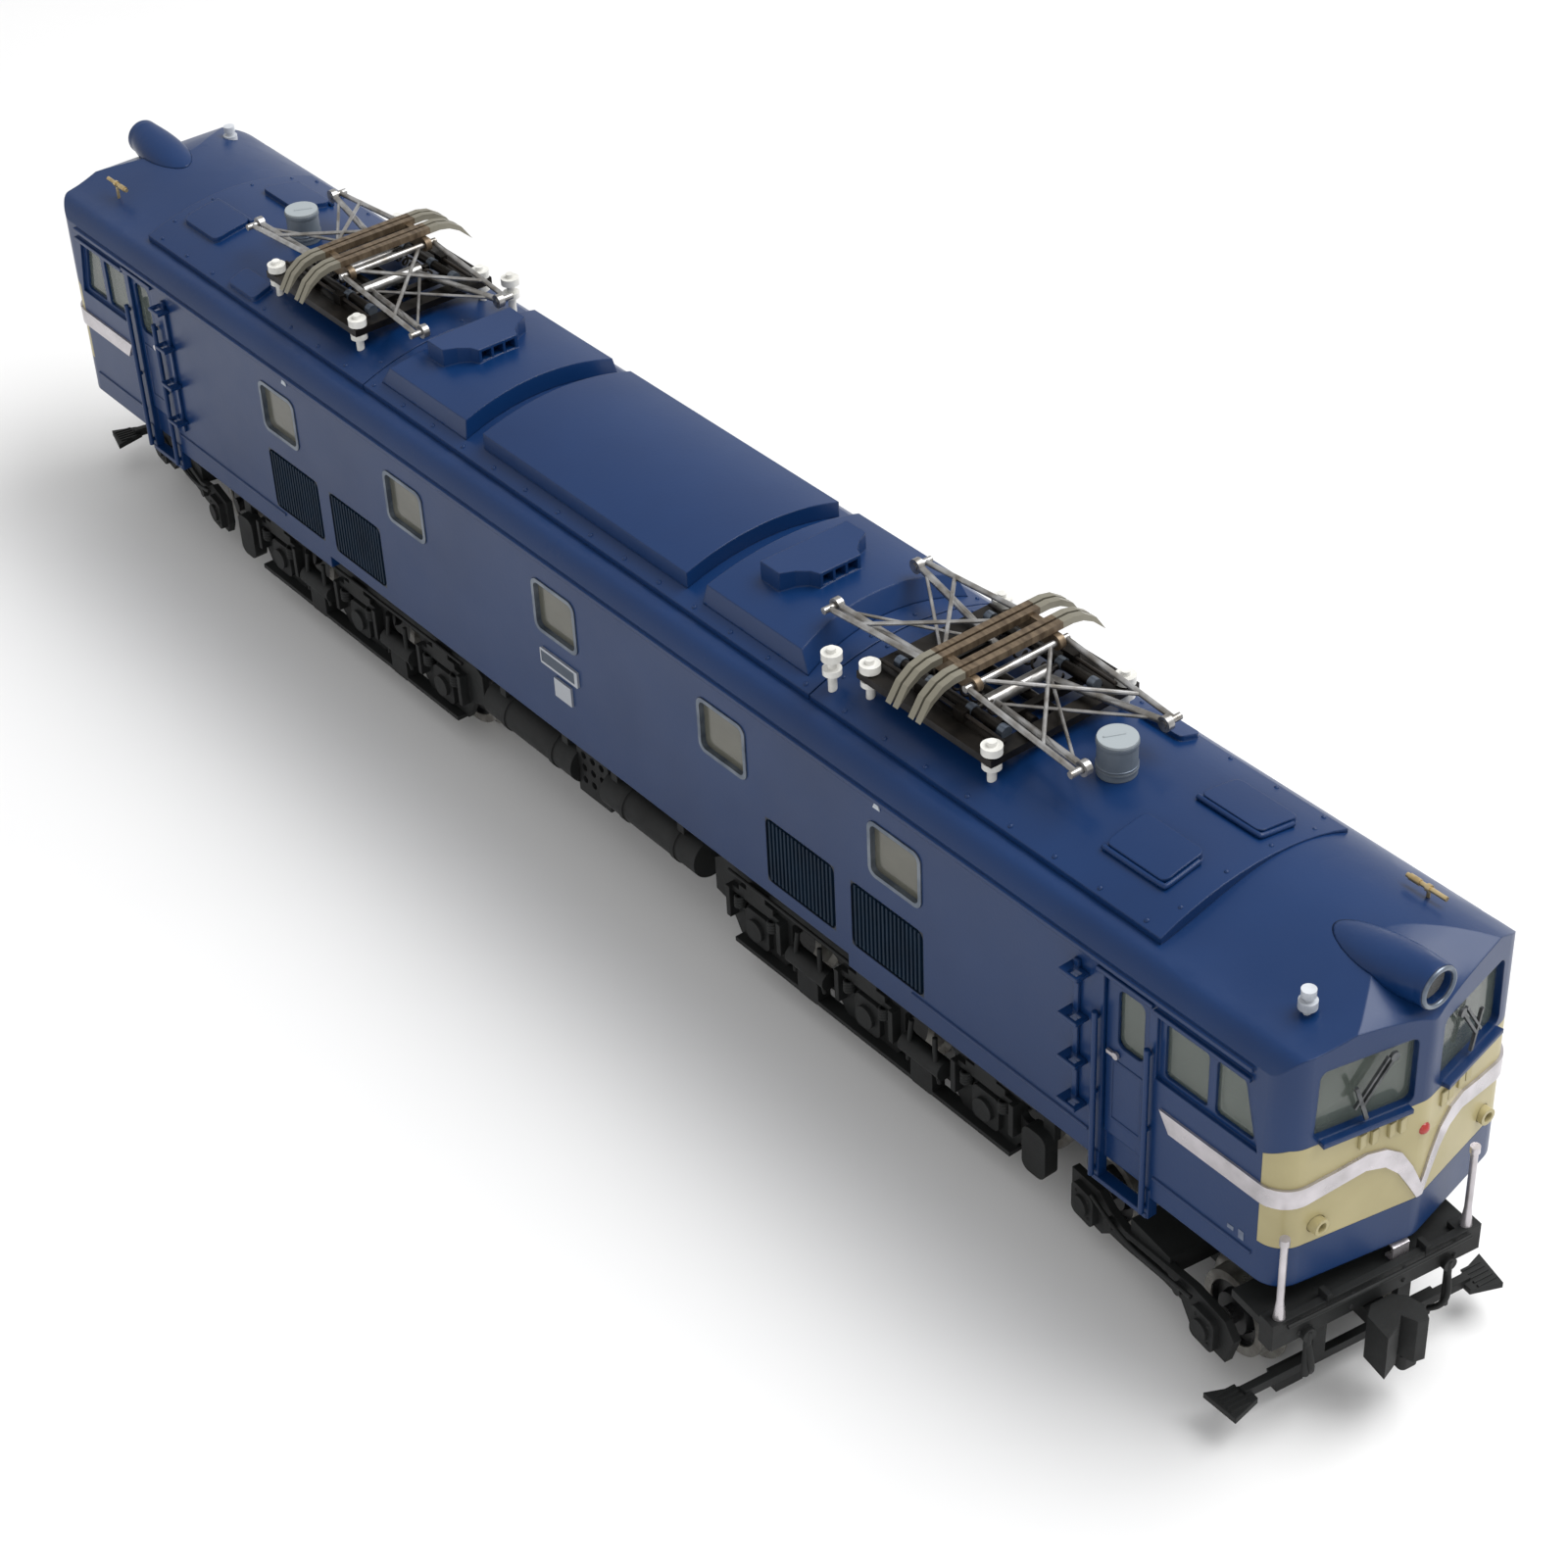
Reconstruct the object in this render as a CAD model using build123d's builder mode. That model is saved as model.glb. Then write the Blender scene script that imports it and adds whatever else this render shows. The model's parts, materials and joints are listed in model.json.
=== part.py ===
from build123d import *
import os

os.makedirs("parts", exist_ok=True)

# ---- driving dimensions, mm ----
HALF_WIDTH = 15.7
NOSE_X = 118.6
CORNER_X = 115.3
SKIRT_Z = 16.9
MID_SKIRT_Z = 18.6
MID_SKIRT_X = 52.0
EAVE_Z = 43.2
SHOULDER_Y = 13.2
SHOULDER_Z = 45.7
ROOF_Z = 48.4
BROW_Z = 44.3
WALL = 1.3

WINDOW_X = (-60.16, -31.25, 0.0, 31.25, 60.16)
WINDOW_WIDE = 8.46
WINDOW_HIGH = 7.3
WINDOW_Z = 35.85
LOUVRE_X = (-58.6, -44.15, 44.15, 58.6)
LOUVRE_WIDE = 11.7
LOUVRE_HIGH = 8.8
LOUVRE_Z = 24.9
SLAT_PITCH = 0.65

DOOR_X = 94.3
DOOR_WIDE = 6.2
DOOR_TOP_Z = 41.3
BAND_X = 112.7
BAND_LOW_Z = 22.0
BAND_SIDE_Z = 33.4
BAND_FRONT_Z = 34.6

RAIL_Z = 0.9
FLANGE = 0.9
DRIVER_R = 7.0
LEAD_R = 4.85
DRIVER_X = (32.0, 51.5, 71.0)
LEAD_X = (88.5, 109.0)
BOGIE_PIVOT_X = 51.5
LEAD_PIVOT_X = 84.0
LEAD_PIVOT_REST = -8.0
WHEEL_INNER_Y = 6.6
FLANGE_Y = 7.4
WHEEL_OUTER_Y = 9.2
AXLE_R = 1.25
LEAD_AXLE_R = 1.0
RUNNING_GAP = 0.05
FRAME_Y = 11.4
FRAME_THICK = 0.9

PANTO_X = 58.2
PANTO_PIVOT = 3.0
PANTO_REACH = 16.0
PANTO_LOW_Z = 51.2
PANTO_HIGH_Z = 54.2
PANTO_ARM_Y = 6.4
INSULATOR_X = 9.4
INSULATOR_Y = 9.05

# side elevations of the running gear, along and up
BOGIE_OUTLINE = ((23.6, 8.5), (23.6, 13.0), (25.6, 14.4), (79.4, 14.4), (81.0, 13.0), (81.0, 9.6),
                 (77.0, 8.4), (75.0, 4.6), (67.0, 4.6), (65.0, 6.8), (57.5, 6.8), (55.5, 4.6),
                 (47.5, 4.6), (45.5, 6.8), (38.0, 6.8), (36.0, 4.6), (28.0, 4.6), (26.0, 8.0))
TRUCK_OUTLINE = ((85.6, 5.0), (85.6, 8.4), (90.4, 8.8), (92.4, 7.6), (95.0, 7.0), (102.6, 8.3),
                 (106.6, 8.9), (111.6, 8.6), (113.2, 7.0), (112.0, 3.2), (106.4, 3.2), (104.6, 5.6),
                 (101.6, 5.6), (95.2, 4.6), (92.4, 4.4), (91.0, 3.2), (86.6, 3.2))
INNER_PLATE = ((86.4, 4.2), (113.4, 4.2), (113.4, 11.8), (110.6, 11.8), (110.6, 8.9), (86.4, 8.9))
GUARD_OUTLINE = ((6.4, 1.8), (9.6, 1.8), (10.2, 4.6), (5.0, 4.6))
STEP_PAD = ((116.4, 13.2), (118.4, 13.2), (119.4, 16.6), (115.0, 17.2))
KNUCKLE = ((119.9, -1.3), (121.0, -2.6), (124.4, -2.8), (123.4, -0.6), (122.6, 0.2),
           (124.2, 1.0), (124.4, 2.2), (122.8, 3.0), (121.0, 2.4), (119.9, 1.3))
# plan of a roof monitor's hood, along and across
HOOD_OUTLINE = ((-4.6, -6.6), (-1.4, -6.6), (-0.6, -5.0), (0.5, -3.8), (1.6, -3.4), (1.6, 2.2),
                (0.5, 2.6), (-0.6, 3.8), (-1.4, 5.4), (-4.6, 5.4))
# end view of a collector strip with its horns, across and up
STRIP_OUTLINE = ((-12.6, 52.4), (-11.2, 54.5), (-9.6, 55.6), (-8.0, 56.0), (8.0, 56.0), (9.6, 55.6),
                 (11.2, 54.5), (12.6, 52.4), (10.8, 54.1), (9.4, 54.9), (8.0, 55.2),
                 (-8.0, 55.2), (-9.4, 54.9), (-10.8, 54.1))

FRONT = Plane(origin=(0, 0, 0), x_dir=(1, 0, 0), z_dir=(0, 0, 1))
REAR = Plane(origin=(0, 0, 0), x_dir=(-1, 0, 0), z_dir=(0, 0, 1))
ENDS = (FRONT, REAR)
HEADINGS = {"front": FRONT, "rear": REAR}


def level(base, height):
    """Horizontal plane of one end of the model at a height."""
    return base.offset(height)


def beside(base, across):
    """Upright plane facing that end's right-hand side, drawn as along and up."""
    spot = base.from_local_coords((0, across, 0))
    return Plane(origin=spot, x_dir=base.x_dir, z_dir=-base.y_dir)


def facing(base, along):
    """Upright plane facing that end's way forward, drawn as across and up."""
    spot = base.from_local_coords((along, 0, 0))
    return Plane(origin=spot, x_dir=base.y_dir, z_dir=base.x_dir)


def turned(base, along, degrees):
    """The end's plane moved to a pivot on the centre line and turned about it."""
    spot = base.from_local_coords((along, 0, 0))
    heading = Vector(base.x_dir).rotate(Axis.Z, degrees)
    return Plane(origin=spot, x_dir=heading, z_dir=(0, 0, 1))


def shifted(base, along):
    """A plane level with the base but with its origin further back."""
    return Plane(origin=base.from_local_coords((along, 0, 0)), x_dir=base.x_dir, z_dir=base.z_dir)


def save(piece, name):
    piece.part.label = name
    export_step(piece.part, "parts/" + name + ".step")


def body_form(inset, low):
    """Solid that has the outside shape of the body, drawn in by an inset."""
    half = HALF_WIDTH - inset
    nose = NOSE_X - inset
    corner = CORNER_X - inset
    with BuildPart() as form:
        with BuildSketch(Plane.XY.offset(low)) as plan:
            with BuildLine():
                Polyline((nose, 0), (corner, half), (-corner, half), (-nose, 0),
                         (-corner, -half), (corner, -half), close=True)
            make_face()
            fillet(plan.vertices().filter_by(lambda v: abs(v.Y) > 1), 3.2 - inset * 0.5)
            fillet(plan.vertices().filter_by(lambda v: abs(v.Y) < 0.2), 3.0)
        extrude(amount=60)
        with BuildSketch(Plane.YZ):
            with BuildLine():
                Line((-half, low), (half, low))
                Line((half, low), (half, EAVE_Z - inset))
                Spline((half, EAVE_Z - inset), (SHOULDER_Y - inset, SHOULDER_Z - inset),
                       (0, ROOF_Z - inset), (-SHOULDER_Y + inset, SHOULDER_Z - inset),
                       (-half, EAVE_Z - inset), tangents=((-0.35, 1), (-0.35, -1)))
                Line((-half, EAVE_Z - inset), (-half, low))
            make_face()
        extrude(amount=130, both=True, mode=Mode.INTERSECT)
        with BuildSketch(Plane.XZ):
            with BuildLine():
                Line((-nose, low), (nose, low))
                Line((nose, low), (nose, BROW_Z - inset))
                Spline((nose, BROW_Z - inset), (115.6, 47.0 - inset), (108.0, 48.6 - inset),
                       tangents=((-0.2, 1), (-1, 0)))
                Line((108.0, 48.6 - inset), (-108.0, 48.6 - inset))
                Spline((-108.0, 48.6 - inset), (-115.6, 47.0 - inset), (-nose, BROW_Z - inset),
                       tangents=((-1, 0), (-0.2, -1)))
                Line((-nose, BROW_Z - inset), (-nose, low))
            make_face()
        extrude(amount=30, both=True, mode=Mode.INTERSECT)
    return form.part


def plan_ring(outset, depth, low, high):
    """Band that follows the body's plan outline between two heights."""
    with BuildPart() as ring:
        for reach, mode in ((outset, Mode.ADD), (outset - depth, Mode.SUBTRACT)):
            half = HALF_WIDTH + reach
            nose = NOSE_X + reach
            corner = CORNER_X + reach
            with BuildSketch(Plane.XY.offset(low)) as plan:
                with BuildLine():
                    Polyline((nose, 0), (corner, half), (-corner, half), (-nose, 0),
                             (-corner, -half), (corner, -half), close=True)
                make_face()
                fillet(plan.vertices().filter_by(lambda v: abs(v.Y) > 1), 3.2 + reach)
                fillet(plan.vertices().filter_by(lambda v: abs(v.Y) < 0.2), 3.0)
            extrude(amount=high - low, mode=mode)
    return ring.part


def windscreen_plane(base, side):
    """Plane on one half of the V-shaped front, drawn as across and up."""
    slope = side * (NOSE_X - CORNER_X) / HALF_WIDTH
    spot = base.from_local_coords((NOSE_X, 0, 0))
    across = base.from_local_coords((-slope, 1, 0))
    return Plane(origin=spot, x_dir=across, z_dir=across.cross(Vector(0, 0, 1)))


def mirrored(points, side):
    """Points drawn for one half, turned over to the other for side -1."""
    return [(side * across, up) for across, up in points]


# panes and frame of a cab side window, along and up
CAB_PANES = (
    ((99.3, 33.4), (105.0, 33.4), (105.0, 40.0), (99.3, 40.0)),
    ((106.0, 33.4), (111.2, 33.4), (109.7, 40.0), (106.0, 40.0)),
)
CAB_FRAME = ((98.5, 32.8), (112.0, 32.8), (110.3, 40.7), (98.5, 40.7))
# outline of the trim strip on one half of the front, across and up
TRIM_SWOOP = ((17.0, 27.3), (13.0, 27.5), (9.6, 28.2), (6.6, 28.8), (4.4, 28.2), (2.8, 26.6),
              (1.4, 24.2), (0.4, 22.3), (0.0, 22.3), (0.0, 24.0), (1.2, 26.8), (2.6, 29.2),
              (4.4, 30.5), (6.6, 30.9), (9.6, 30.3), (13.0, 29.8), (17.0, 29.6))
SCREEN = ((1.75, 35.2), (12.9, 35.2), (12.6, 43.5), (1.75, 43.2))


def outline(points):
    """Closed face through the points, on the sketch being drawn."""
    Polygon(*points, align=None)


# ---- body shell ----
outer_form = body_form(0.0, SKIRT_Z)
inner_form = body_form(WALL, SKIRT_Z - 1)
band_ring = plan_ring(0.0, 0.5, BAND_LOW_Z, BAND_FRONT_Z)
with BuildPart() as band_zone:
    for base in ENDS:
        with BuildSketch(beside(base, 0)):
            outline(((BAND_X, BAND_LOW_Z), (125, BAND_LOW_Z), (125, BAND_FRONT_Z),
                     (115.0, BAND_FRONT_Z), (BAND_X, BAND_SIDE_Z)))
        extrude(amount=20, both=True)
with BuildPart() as nose_bands:
    add(band_ring)
    add(band_zone.part, mode=Mode.INTERSECT)
    for base in ENDS:
        for side in (-1, 1):
            with BuildSketch(facing(base, NOSE_X - 8)):
                with Locations((side * 11.5, 24.1)):
                    Circle(1.0)
            extrude(amount=10, mode=Mode.SUBTRACT)

with BuildPart() as body_shell:
    add(outer_form)
    add(inner_form, mode=Mode.SUBTRACT)
    # the long middle of the skirt is cut back above the bogies
    with BuildSketch(Plane.XZ):
        with Locations((0, MID_SKIRT_Z - 5)):
            Rectangle(2 * MID_SKIRT_X, 10)
    extrude(amount=20, both=True, mode=Mode.SUBTRACT)
    # engine room windows and louvre pockets
    with BuildSketch(Plane.XZ):
        with Locations(*[(x, WINDOW_Z) for x in WINDOW_X]):
            RectangleRounded(WINDOW_WIDE, WINDOW_HIGH, 1.2)
    extrude(amount=20, both=True, mode=Mode.SUBTRACT)
    for base in ENDS:
        with BuildSketch(beside(base, -HALF_WIDTH)):
            with Locations(*[(x, LOUVRE_Z) for x in LOUVRE_X]):
                RectangleRounded(LOUVRE_WIDE, LOUVRE_HIGH, 1.0)
        extrude(amount=-0.5, mode=Mode.SUBTRACT)
    # cab doorways with their step recess, cab side windows, windscreens
    for base in ENDS:
        for side in (-1, 1):
            with BuildSketch(beside(base, side * HALF_WIDTH)):
                with Locations((DOOR_X, (SKIRT_Z + DOOR_TOP_Z) / 2)):
                    Rectangle(DOOR_WIDE, DOOR_TOP_Z - SKIRT_Z)
            extrude(amount=0.8, both=True, mode=Mode.SUBTRACT)
            with BuildSketch(beside(base, side * HALF_WIDTH)):
                with Locations((DOOR_X + 0.4, 36.6)):
                    RectangleRounded(3.7, 7.4, 0.9)
            extrude(amount=3, both=True, mode=Mode.SUBTRACT)
            with BuildSketch(beside(base, side * HALF_WIDTH)):
                outline(CAB_FRAME)
            extrude(amount=0.45, both=True, mode=Mode.SUBTRACT)
            with BuildSketch(beside(base, side * HALF_WIDTH)) as panes:
                for pane in CAB_PANES:
                    outline(pane)
                fillet(panes.vertices(), 0.5)
            extrude(amount=3, both=True, mode=Mode.SUBTRACT)
            with BuildSketch(windscreen_plane(base, side)) as screen:
                outline(mirrored(SCREEN, side))
                fillet(screen.vertices(), 0.9)
            extrude(amount=4, both=True, mode=Mode.SUBTRACT)
    # cream band is let into the shell
    add(nose_bands.part, mode=Mode.SUBTRACT)
    for base in ENDS:
        # tail lamp seats
        with BuildSketch(facing(base, NOSE_X - 8)):
            with Locations((-11.5, 24.1), (11.5, 24.1)):
                Circle(1.0)
        extrude(amount=10, mode=Mode.SUBTRACT)
        # rain strips above the cab windows and the ledges under the windscreens
        for side in (-1, 1):
            with BuildSketch(beside(base, side * (HALF_WIDTH - 0.3))):
                with Locations((104.6, 41.35)):
                    Rectangle(12.6, 0.5)
                with Locations((DOOR_X, DOOR_TOP_Z + 0.5)):
                    Rectangle(DOOR_WIDE + 1.4, 0.5)
            extrude(amount=0.75, both=True)
            with BuildSketch(windscreen_plane(base, side)):
                with Locations((side * 7.3, 34.9)):
                    Rectangle(10.0, 0.5)
            extrude(amount=0.9)
            with BuildSketch(windscreen_plane(base, side)):
                with Locations((side * 7.3, 34.9)):
                    Rectangle(10.0, 0.5)
            extrude(amount=-0.6)
            # door jamb posts that run below the skirt
            with BuildSketch(level(base, 14.0)):
                with Locations((DOOR_X - DOOR_WIDE / 2 - 0.5, side * (HALF_WIDTH - 0.45)),
                               (DOOR_X + DOOR_WIDE / 2 + 0.5, side * (HALF_WIDTH - 0.45))):
                    Rectangle(1.0, 1.2)
            extrude(amount=SKIRT_Z - 13.0)
            with BuildSketch(beside(base, side * (HALF_WIDTH - 0.45))):
                with Locations((DOOR_X, 14.3)):
                    Rectangle(DOOR_WIDE + 1.6, 0.6)
            extrude(amount=0.7, both=True)
    # gutter along each side of the roof and the lower side moulding at the ends
    for base in ENDS:
        with BuildSketch(beside(base, -(HALF_WIDTH - 0.2))):
            with Locations((0, EAVE_Z - 0.6)):
                Rectangle(222, 0.5)
        extrude(amount=0.55)
        for side in (-1, 1):
            with BuildSketch(beside(base, side * (HALF_WIDTH - 0.2))):
                with Locations((76.0, 19.9)):
                    Rectangle(27.0, 0.35)
                with Locations((105.4, 19.9)):
                    Rectangle(13.4, 0.35)
            extrude(amount=0.35, both=True)
save(body_shell, "body_shell")
save(nose_bands, "nose_bands")

# ---- cab doors, handles, handrails and ladders ----
with BuildPart() as cab_doors:
    for base in ENDS:
        for side in (-1, 1):
            with BuildSketch(beside(base, side * (HALF_WIDTH - 0.58))):
                with Locations((DOOR_X, 31.0)):
                    Rectangle(DOOR_WIDE - 0.3, 20.2)
                with Locations((DOOR_X + 0.4, 36.6)):
                    RectangleRounded(3.6, 7.3, 0.9, mode=Mode.SUBTRACT)
            extrude(amount=0.2, both=True)
            with BuildSketch(beside(base, side * (HALF_WIDTH - 0.45))):
                with Locations((DOOR_X, 27.0)):
                    Rectangle(4.4, 8.0)
                    Rectangle(3.8, 7.4, mode=Mode.SUBTRACT)
            extrude(amount=0.15, both=True)
save(cab_doors, "cab_doors")

with BuildPart() as door_handles:
    for base in ENDS:
        for side in (-1, 1):
            with BuildSketch(beside(base, side * (HALF_WIDTH - 0.14))):
                with Locations((DOOR_X - 1.9, 31.8)):
                    Rectangle(1.4, 0.4)
                with Locations((DOOR_X - 1.4, 31.8)):
                    Circle(0.4)
            extrude(amount=0.16, both=True)
save(door_handles, "door_handles")

with BuildPart() as door_handrails:
    for base in ENDS:
        for side in (-1, 1):
            for along in (DOOR_X - DOOR_WIDE / 2 - 0.5, DOOR_X + DOOR_WIDE / 2 + 0.5):
                with BuildSketch(level(base, 14.9)):
                    with Locations((along, side * (HALF_WIDTH + 0.65))):
                        Circle(0.32)
                extrude(amount=21.6)
                with BuildSketch(beside(base, side * (HALF_WIDTH + 0.38))):
                    with Locations((along, 15.6), (along, 26.0), (along, 35.8)):
                        Circle(0.28)
                extrude(amount=0.22, both=True)
save(door_handrails, "door_handrails")

with BuildPart() as ladders:
    for base in ENDS:
        for side in (-1, 1):
            with BuildSketch(beside(base, side * (HALF_WIDTH + 0.2))):
                with Locations((87.7, 31.2)):
                    Rectangle(0.7, 19.6)
            extrude(amount=0.2, both=True)
            for rung in range(4):
                with BuildSketch(level(base, 22.8 + 5.6 * rung)):
                    with Locations((87.9, side * (HALF_WIDTH + 0.85))):
                        Rectangle(2.6, 1.7)
                        with Locations((0.3, side * 0.15)):
                            Rectangle(1.2, 0.8, mode=Mode.SUBTRACT)
                extrude(amount=0.45)
save(ladders, "ladders")

# ---- glazing, rims and louvres ----
with BuildPart() as side_glazing:
    for side in (-1, 1):
        with BuildSketch(Plane.XZ.offset(-side * (HALF_WIDTH - 0.75))):
            with Locations(*[(x, WINDOW_Z) for x in WINDOW_X]):
                RectangleRounded(WINDOW_WIDE - 1.0, WINDOW_HIGH - 1.0, 0.8)
        extrude(amount=0.25, both=True)
save(side_glazing, "side_glazing")

with BuildPart() as side_window_rims:
    for side in (-1, 1):
        with BuildSketch(Plane.XZ.offset(-side * (HALF_WIDTH - 0.5))):
            with Locations(*[(x, WINDOW_Z) for x in WINDOW_X]):
                RectangleRounded(WINDOW_WIDE, WINDOW_HIGH, 1.2)
                RectangleRounded(WINDOW_WIDE - 1.0, WINDOW_HIGH - 1.0, 0.8, mode=Mode.SUBTRACT)
        extrude(amount=0.65, both=True)
save(side_window_rims, "side_window_rims")

with BuildPart() as cab_glazing:
    for base in ENDS:
        for side in (-1, 1):
            with BuildSketch(beside(base, side * (HALF_WIDTH - 0.95))) as panes:
                for pane in CAB_PANES:
                    outline(pane)
                fillet(panes.vertices(), 0.5)
                with Locations((DOOR_X + 0.4, 36.6)):
                    RectangleRounded(3.7, 7.4, 0.9)
            extrude(amount=0.15, both=True)
            with BuildSketch(windscreen_plane(base, side).offset(-0.8)) as screen:
                outline(mirrored(SCREEN, side))
                fillet(screen.vertices(), 0.9)
            extrude(amount=-0.3)
save(cab_glazing, "cab_glazing")

with BuildPart() as louvres:
    for base in ENDS:
        with BuildSketch(beside(base, -HALF_WIDTH + 0.5)):
            with Locations(*[(x, LOUVRE_Z) for x in LOUVRE_X]):
                RectangleRounded(LOUVRE_WIDE, LOUVRE_HIGH, 1.0)
        extrude(amount=0.2)
        with BuildSketch(beside(base, -HALF_WIDTH + 0.4)):
            for x in LOUVRE_X:
                with Locations((x, LOUVRE_Z)):
                    with GridLocations(SLAT_PITCH, 1, int(LOUVRE_WIDE / SLAT_PITCH) - 1, 1):
                        Rectangle(0.3, LOUVRE_HIGH - 0.7)
        extrude(amount=0.42)
save(louvres, "louvres")

# ---- trim, plates, lamps and small fittings ----
trim_ring = plan_ring(0.28, 0.28, 21.0, 33.0)
with BuildPart() as trim_zone:
    for base in ENDS:
        with BuildSketch(beside(base, 0)):
            outline(((99.4, 29.6), (100.8, 27.3), (113.8, 27.3), (113.8, 29.6)))
        extrude(amount=20, both=True)
        for side in (-1, 1):
            with BuildSketch(facing(base, 113.8)):
                outline(mirrored(TRIM_SWOOP, side))
            extrude(amount=8)
with BuildPart() as trim_strips:
    add(trim_ring)
    add(trim_zone.part, mode=Mode.INTERSECT)
save(trim_strips, "trim_strips")

with BuildPart() as blank_plates:
    for base in ENDS:
        with BuildSketch(beside(base, -HALF_WIDTH)):
            with Locations((0.2, 28.9)):
                RectangleRounded(7.4, 2.2, 0.2)
            with Locations((0.6, 25.6)):
                Rectangle(3.3, 2.6)
        extrude(amount=0.3)
save(blank_plates, "blank_plates")

with BuildPart() as headlight_housings:
    for base in ENDS:
        with BuildSketch(facing(base, 117.4)):
            with Locations((0, 48.3)):
                Circle(2.35)
        with BuildSketch(facing(base, 111.6)):
            with Locations((0, 47.5)):
                Ellipse(3.0, 2.3)
        with BuildSketch(facing(base, 104.6)):
            with Locations((0, 46.9)):
                Ellipse(1.5, 1.1)
        loft()
        with BuildSketch(facing(base, 117.4)):
            with Locations((0, 48.3)):
                Circle(2.35)
        extrude(amount=0.9)
        with BuildSketch(facing(base, 118.3)):
            with Locations((0, 48.3)):
                Circle(1.75)
        extrude(amount=-2.2, mode=Mode.SUBTRACT)
    add(outer_form, mode=Mode.SUBTRACT)
save(headlight_housings, "headlight_housings")

with BuildPart() as headlight_lenses:
    for base in ENDS:
        with BuildSketch(facing(base, 116.6)):
            with Locations((0, 48.3)):
                Circle(1.7)
        extrude(amount=0.9)
save(headlight_lenses, "headlight_lenses")

with BuildPart() as tail_lamps:
    for base in ENDS:
        with BuildSketch(facing(base, 113.8)):
            with Locations((-11.5, 24.1), (11.5, 24.1)):
                Circle(0.95)
        extrude(amount=3.2)
        with BuildSketch(facing(base, 117.0)):
            with Locations((-11.5, 24.1), (11.5, 24.1)):
                Circle(0.55)
        extrude(amount=-1.4, mode=Mode.SUBTRACT)
save(tail_lamps, "tail_lamps")

with BuildPart() as wipers:
    for base in ENDS:
        for side in (-1, 1):
            with BuildSketch(windscreen_plane(base, side)):
                with Locations((side * 6.2, 39.9)):
                    Rectangle(0.3, 6.2, rotation=side * 34)
                with Locations((side * 6.95, 40.0)):
                    Rectangle(0.25, 6.0, rotation=side * 34)
                with Locations((side * 7.9, 37.9)):
                    Rectangle(0.4, 4.6, rotation=side * -18)
                with Locations((side * 4.6, 42.3)):
                    Circle(0.5)
            extrude(amount=0.35)
save(wipers, "wipers")

with BuildPart() as whistles:
    for base in ENDS:
        with BuildSketch(facing(base, 105.4)):
            with Locations((9.9, 48.3)):
                Circle(0.26)
        extrude(amount=5.0)
        with BuildSketch(facing(base, 105.8)):
            with Locations((9.9, 48.3)):
                Circle(0.36)
        extrude(amount=1.3)
        with BuildSketch(facing(base, 107.9)):
            with Locations((9.9, 48.3)):
                Circle(0.42)
        extrude(amount=0.5)
        with BuildSketch(level(base, 45.8)):
            with Locations((108.15, 9.9)):
                Circle(0.21)
        extrude(amount=2.45)
    add(outer_form, mode=Mode.SUBTRACT)
save(whistles, "whistles")

with BuildPart() as antennas:
    for base in ENDS:
        for low, high, radius in ((42.5, 48.8, 0.42), (46.9, 47.8, 0.95), (48.3, 49.1, 0.75)):
            with BuildSketch(level(base, low)):
                with Locations((111.4, -9.6)):
                    Circle(radius)
            extrude(amount=high - low)
    add(outer_form, mode=Mode.SUBTRACT)
save(antennas, "antennas")


# ---- roof ----
def roof_strip(raise_by, half, depth):
    """Arched cross section that lies on the roof, drawn across and up."""
    fall = (ROOF_Z - SHOULDER_Z) * (half / SHOULDER_Y) ** 2
    with BuildSketch() as strip:
        with BuildLine():
            ThreePointArc((-half, ROOF_Z - fall + raise_by), (0, ROOF_Z + raise_by),
                          (half, ROOF_Z - fall + raise_by))
            Line((half, ROOF_Z - fall + raise_by), (half, ROOF_Z - fall - depth))
            Line((half, ROOF_Z - fall - depth), (-half, ROOF_Z - fall - depth))
            Line((-half, ROOF_Z - fall - depth), (-half, ROOF_Z - fall + raise_by))
        make_face()
    return strip.sketch


deck_section = roof_strip(0.55, 12.6, 1.0)
lid_section = roof_strip(1.25, 12.4, 1.0)
panel_section = roof_strip(2.6, 11.5, 6.0)
monitor_section = roof_strip(2.8, 11.5, 6.0)

# hatch lids and a cable cover that follow the arch of the deck
with BuildPart() as hatch_lids:
    for base in ENDS:
        with BuildSketch(level(base, 46.0)):
            with Locations((87.3, -5.6), (88.6, 5.8)):
                RectangleRounded(8.2, 5.4, 0.8)
            with Locations((72.5, 10.6)):
                RectangleRounded(6.2, 3.0, 0.6)
        extrude(amount=5.0)
    with BuildSketch(Plane.YZ):
        add(lid_section)
    extrude(amount=110, both=True, mode=Mode.INTERSECT)

with BuildPart() as roof_deck:
    for start, span in ((-95.4, 52.3), (-42.9, 85.8), (43.1, 52.3)):
        with BuildSketch(facing(FRONT, start)):
            add(deck_section)
        extrude(amount=span)
    add(outer_form, mode=Mode.SUBTRACT)
    add(hatch_lids.part)
    add(outer_form, mode=Mode.SUBTRACT)
save(roof_deck, "roof_deck")

with BuildPart() as centre_roof_panel:
    with BuildSketch(Plane.XY.offset(46.0)):
        Rectangle(39.2, 21.4)
    extrude(amount=6.0)
    with BuildSketch(Plane.YZ):
        add(panel_section)
    extrude(amount=60, both=True, mode=Mode.INTERSECT)
    with BuildSketch(Plane.YZ):
        add(deck_section)
    extrude(amount=60, both=True, mode=Mode.SUBTRACT)
save(centre_roof_panel, "centre_roof_panel")

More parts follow.
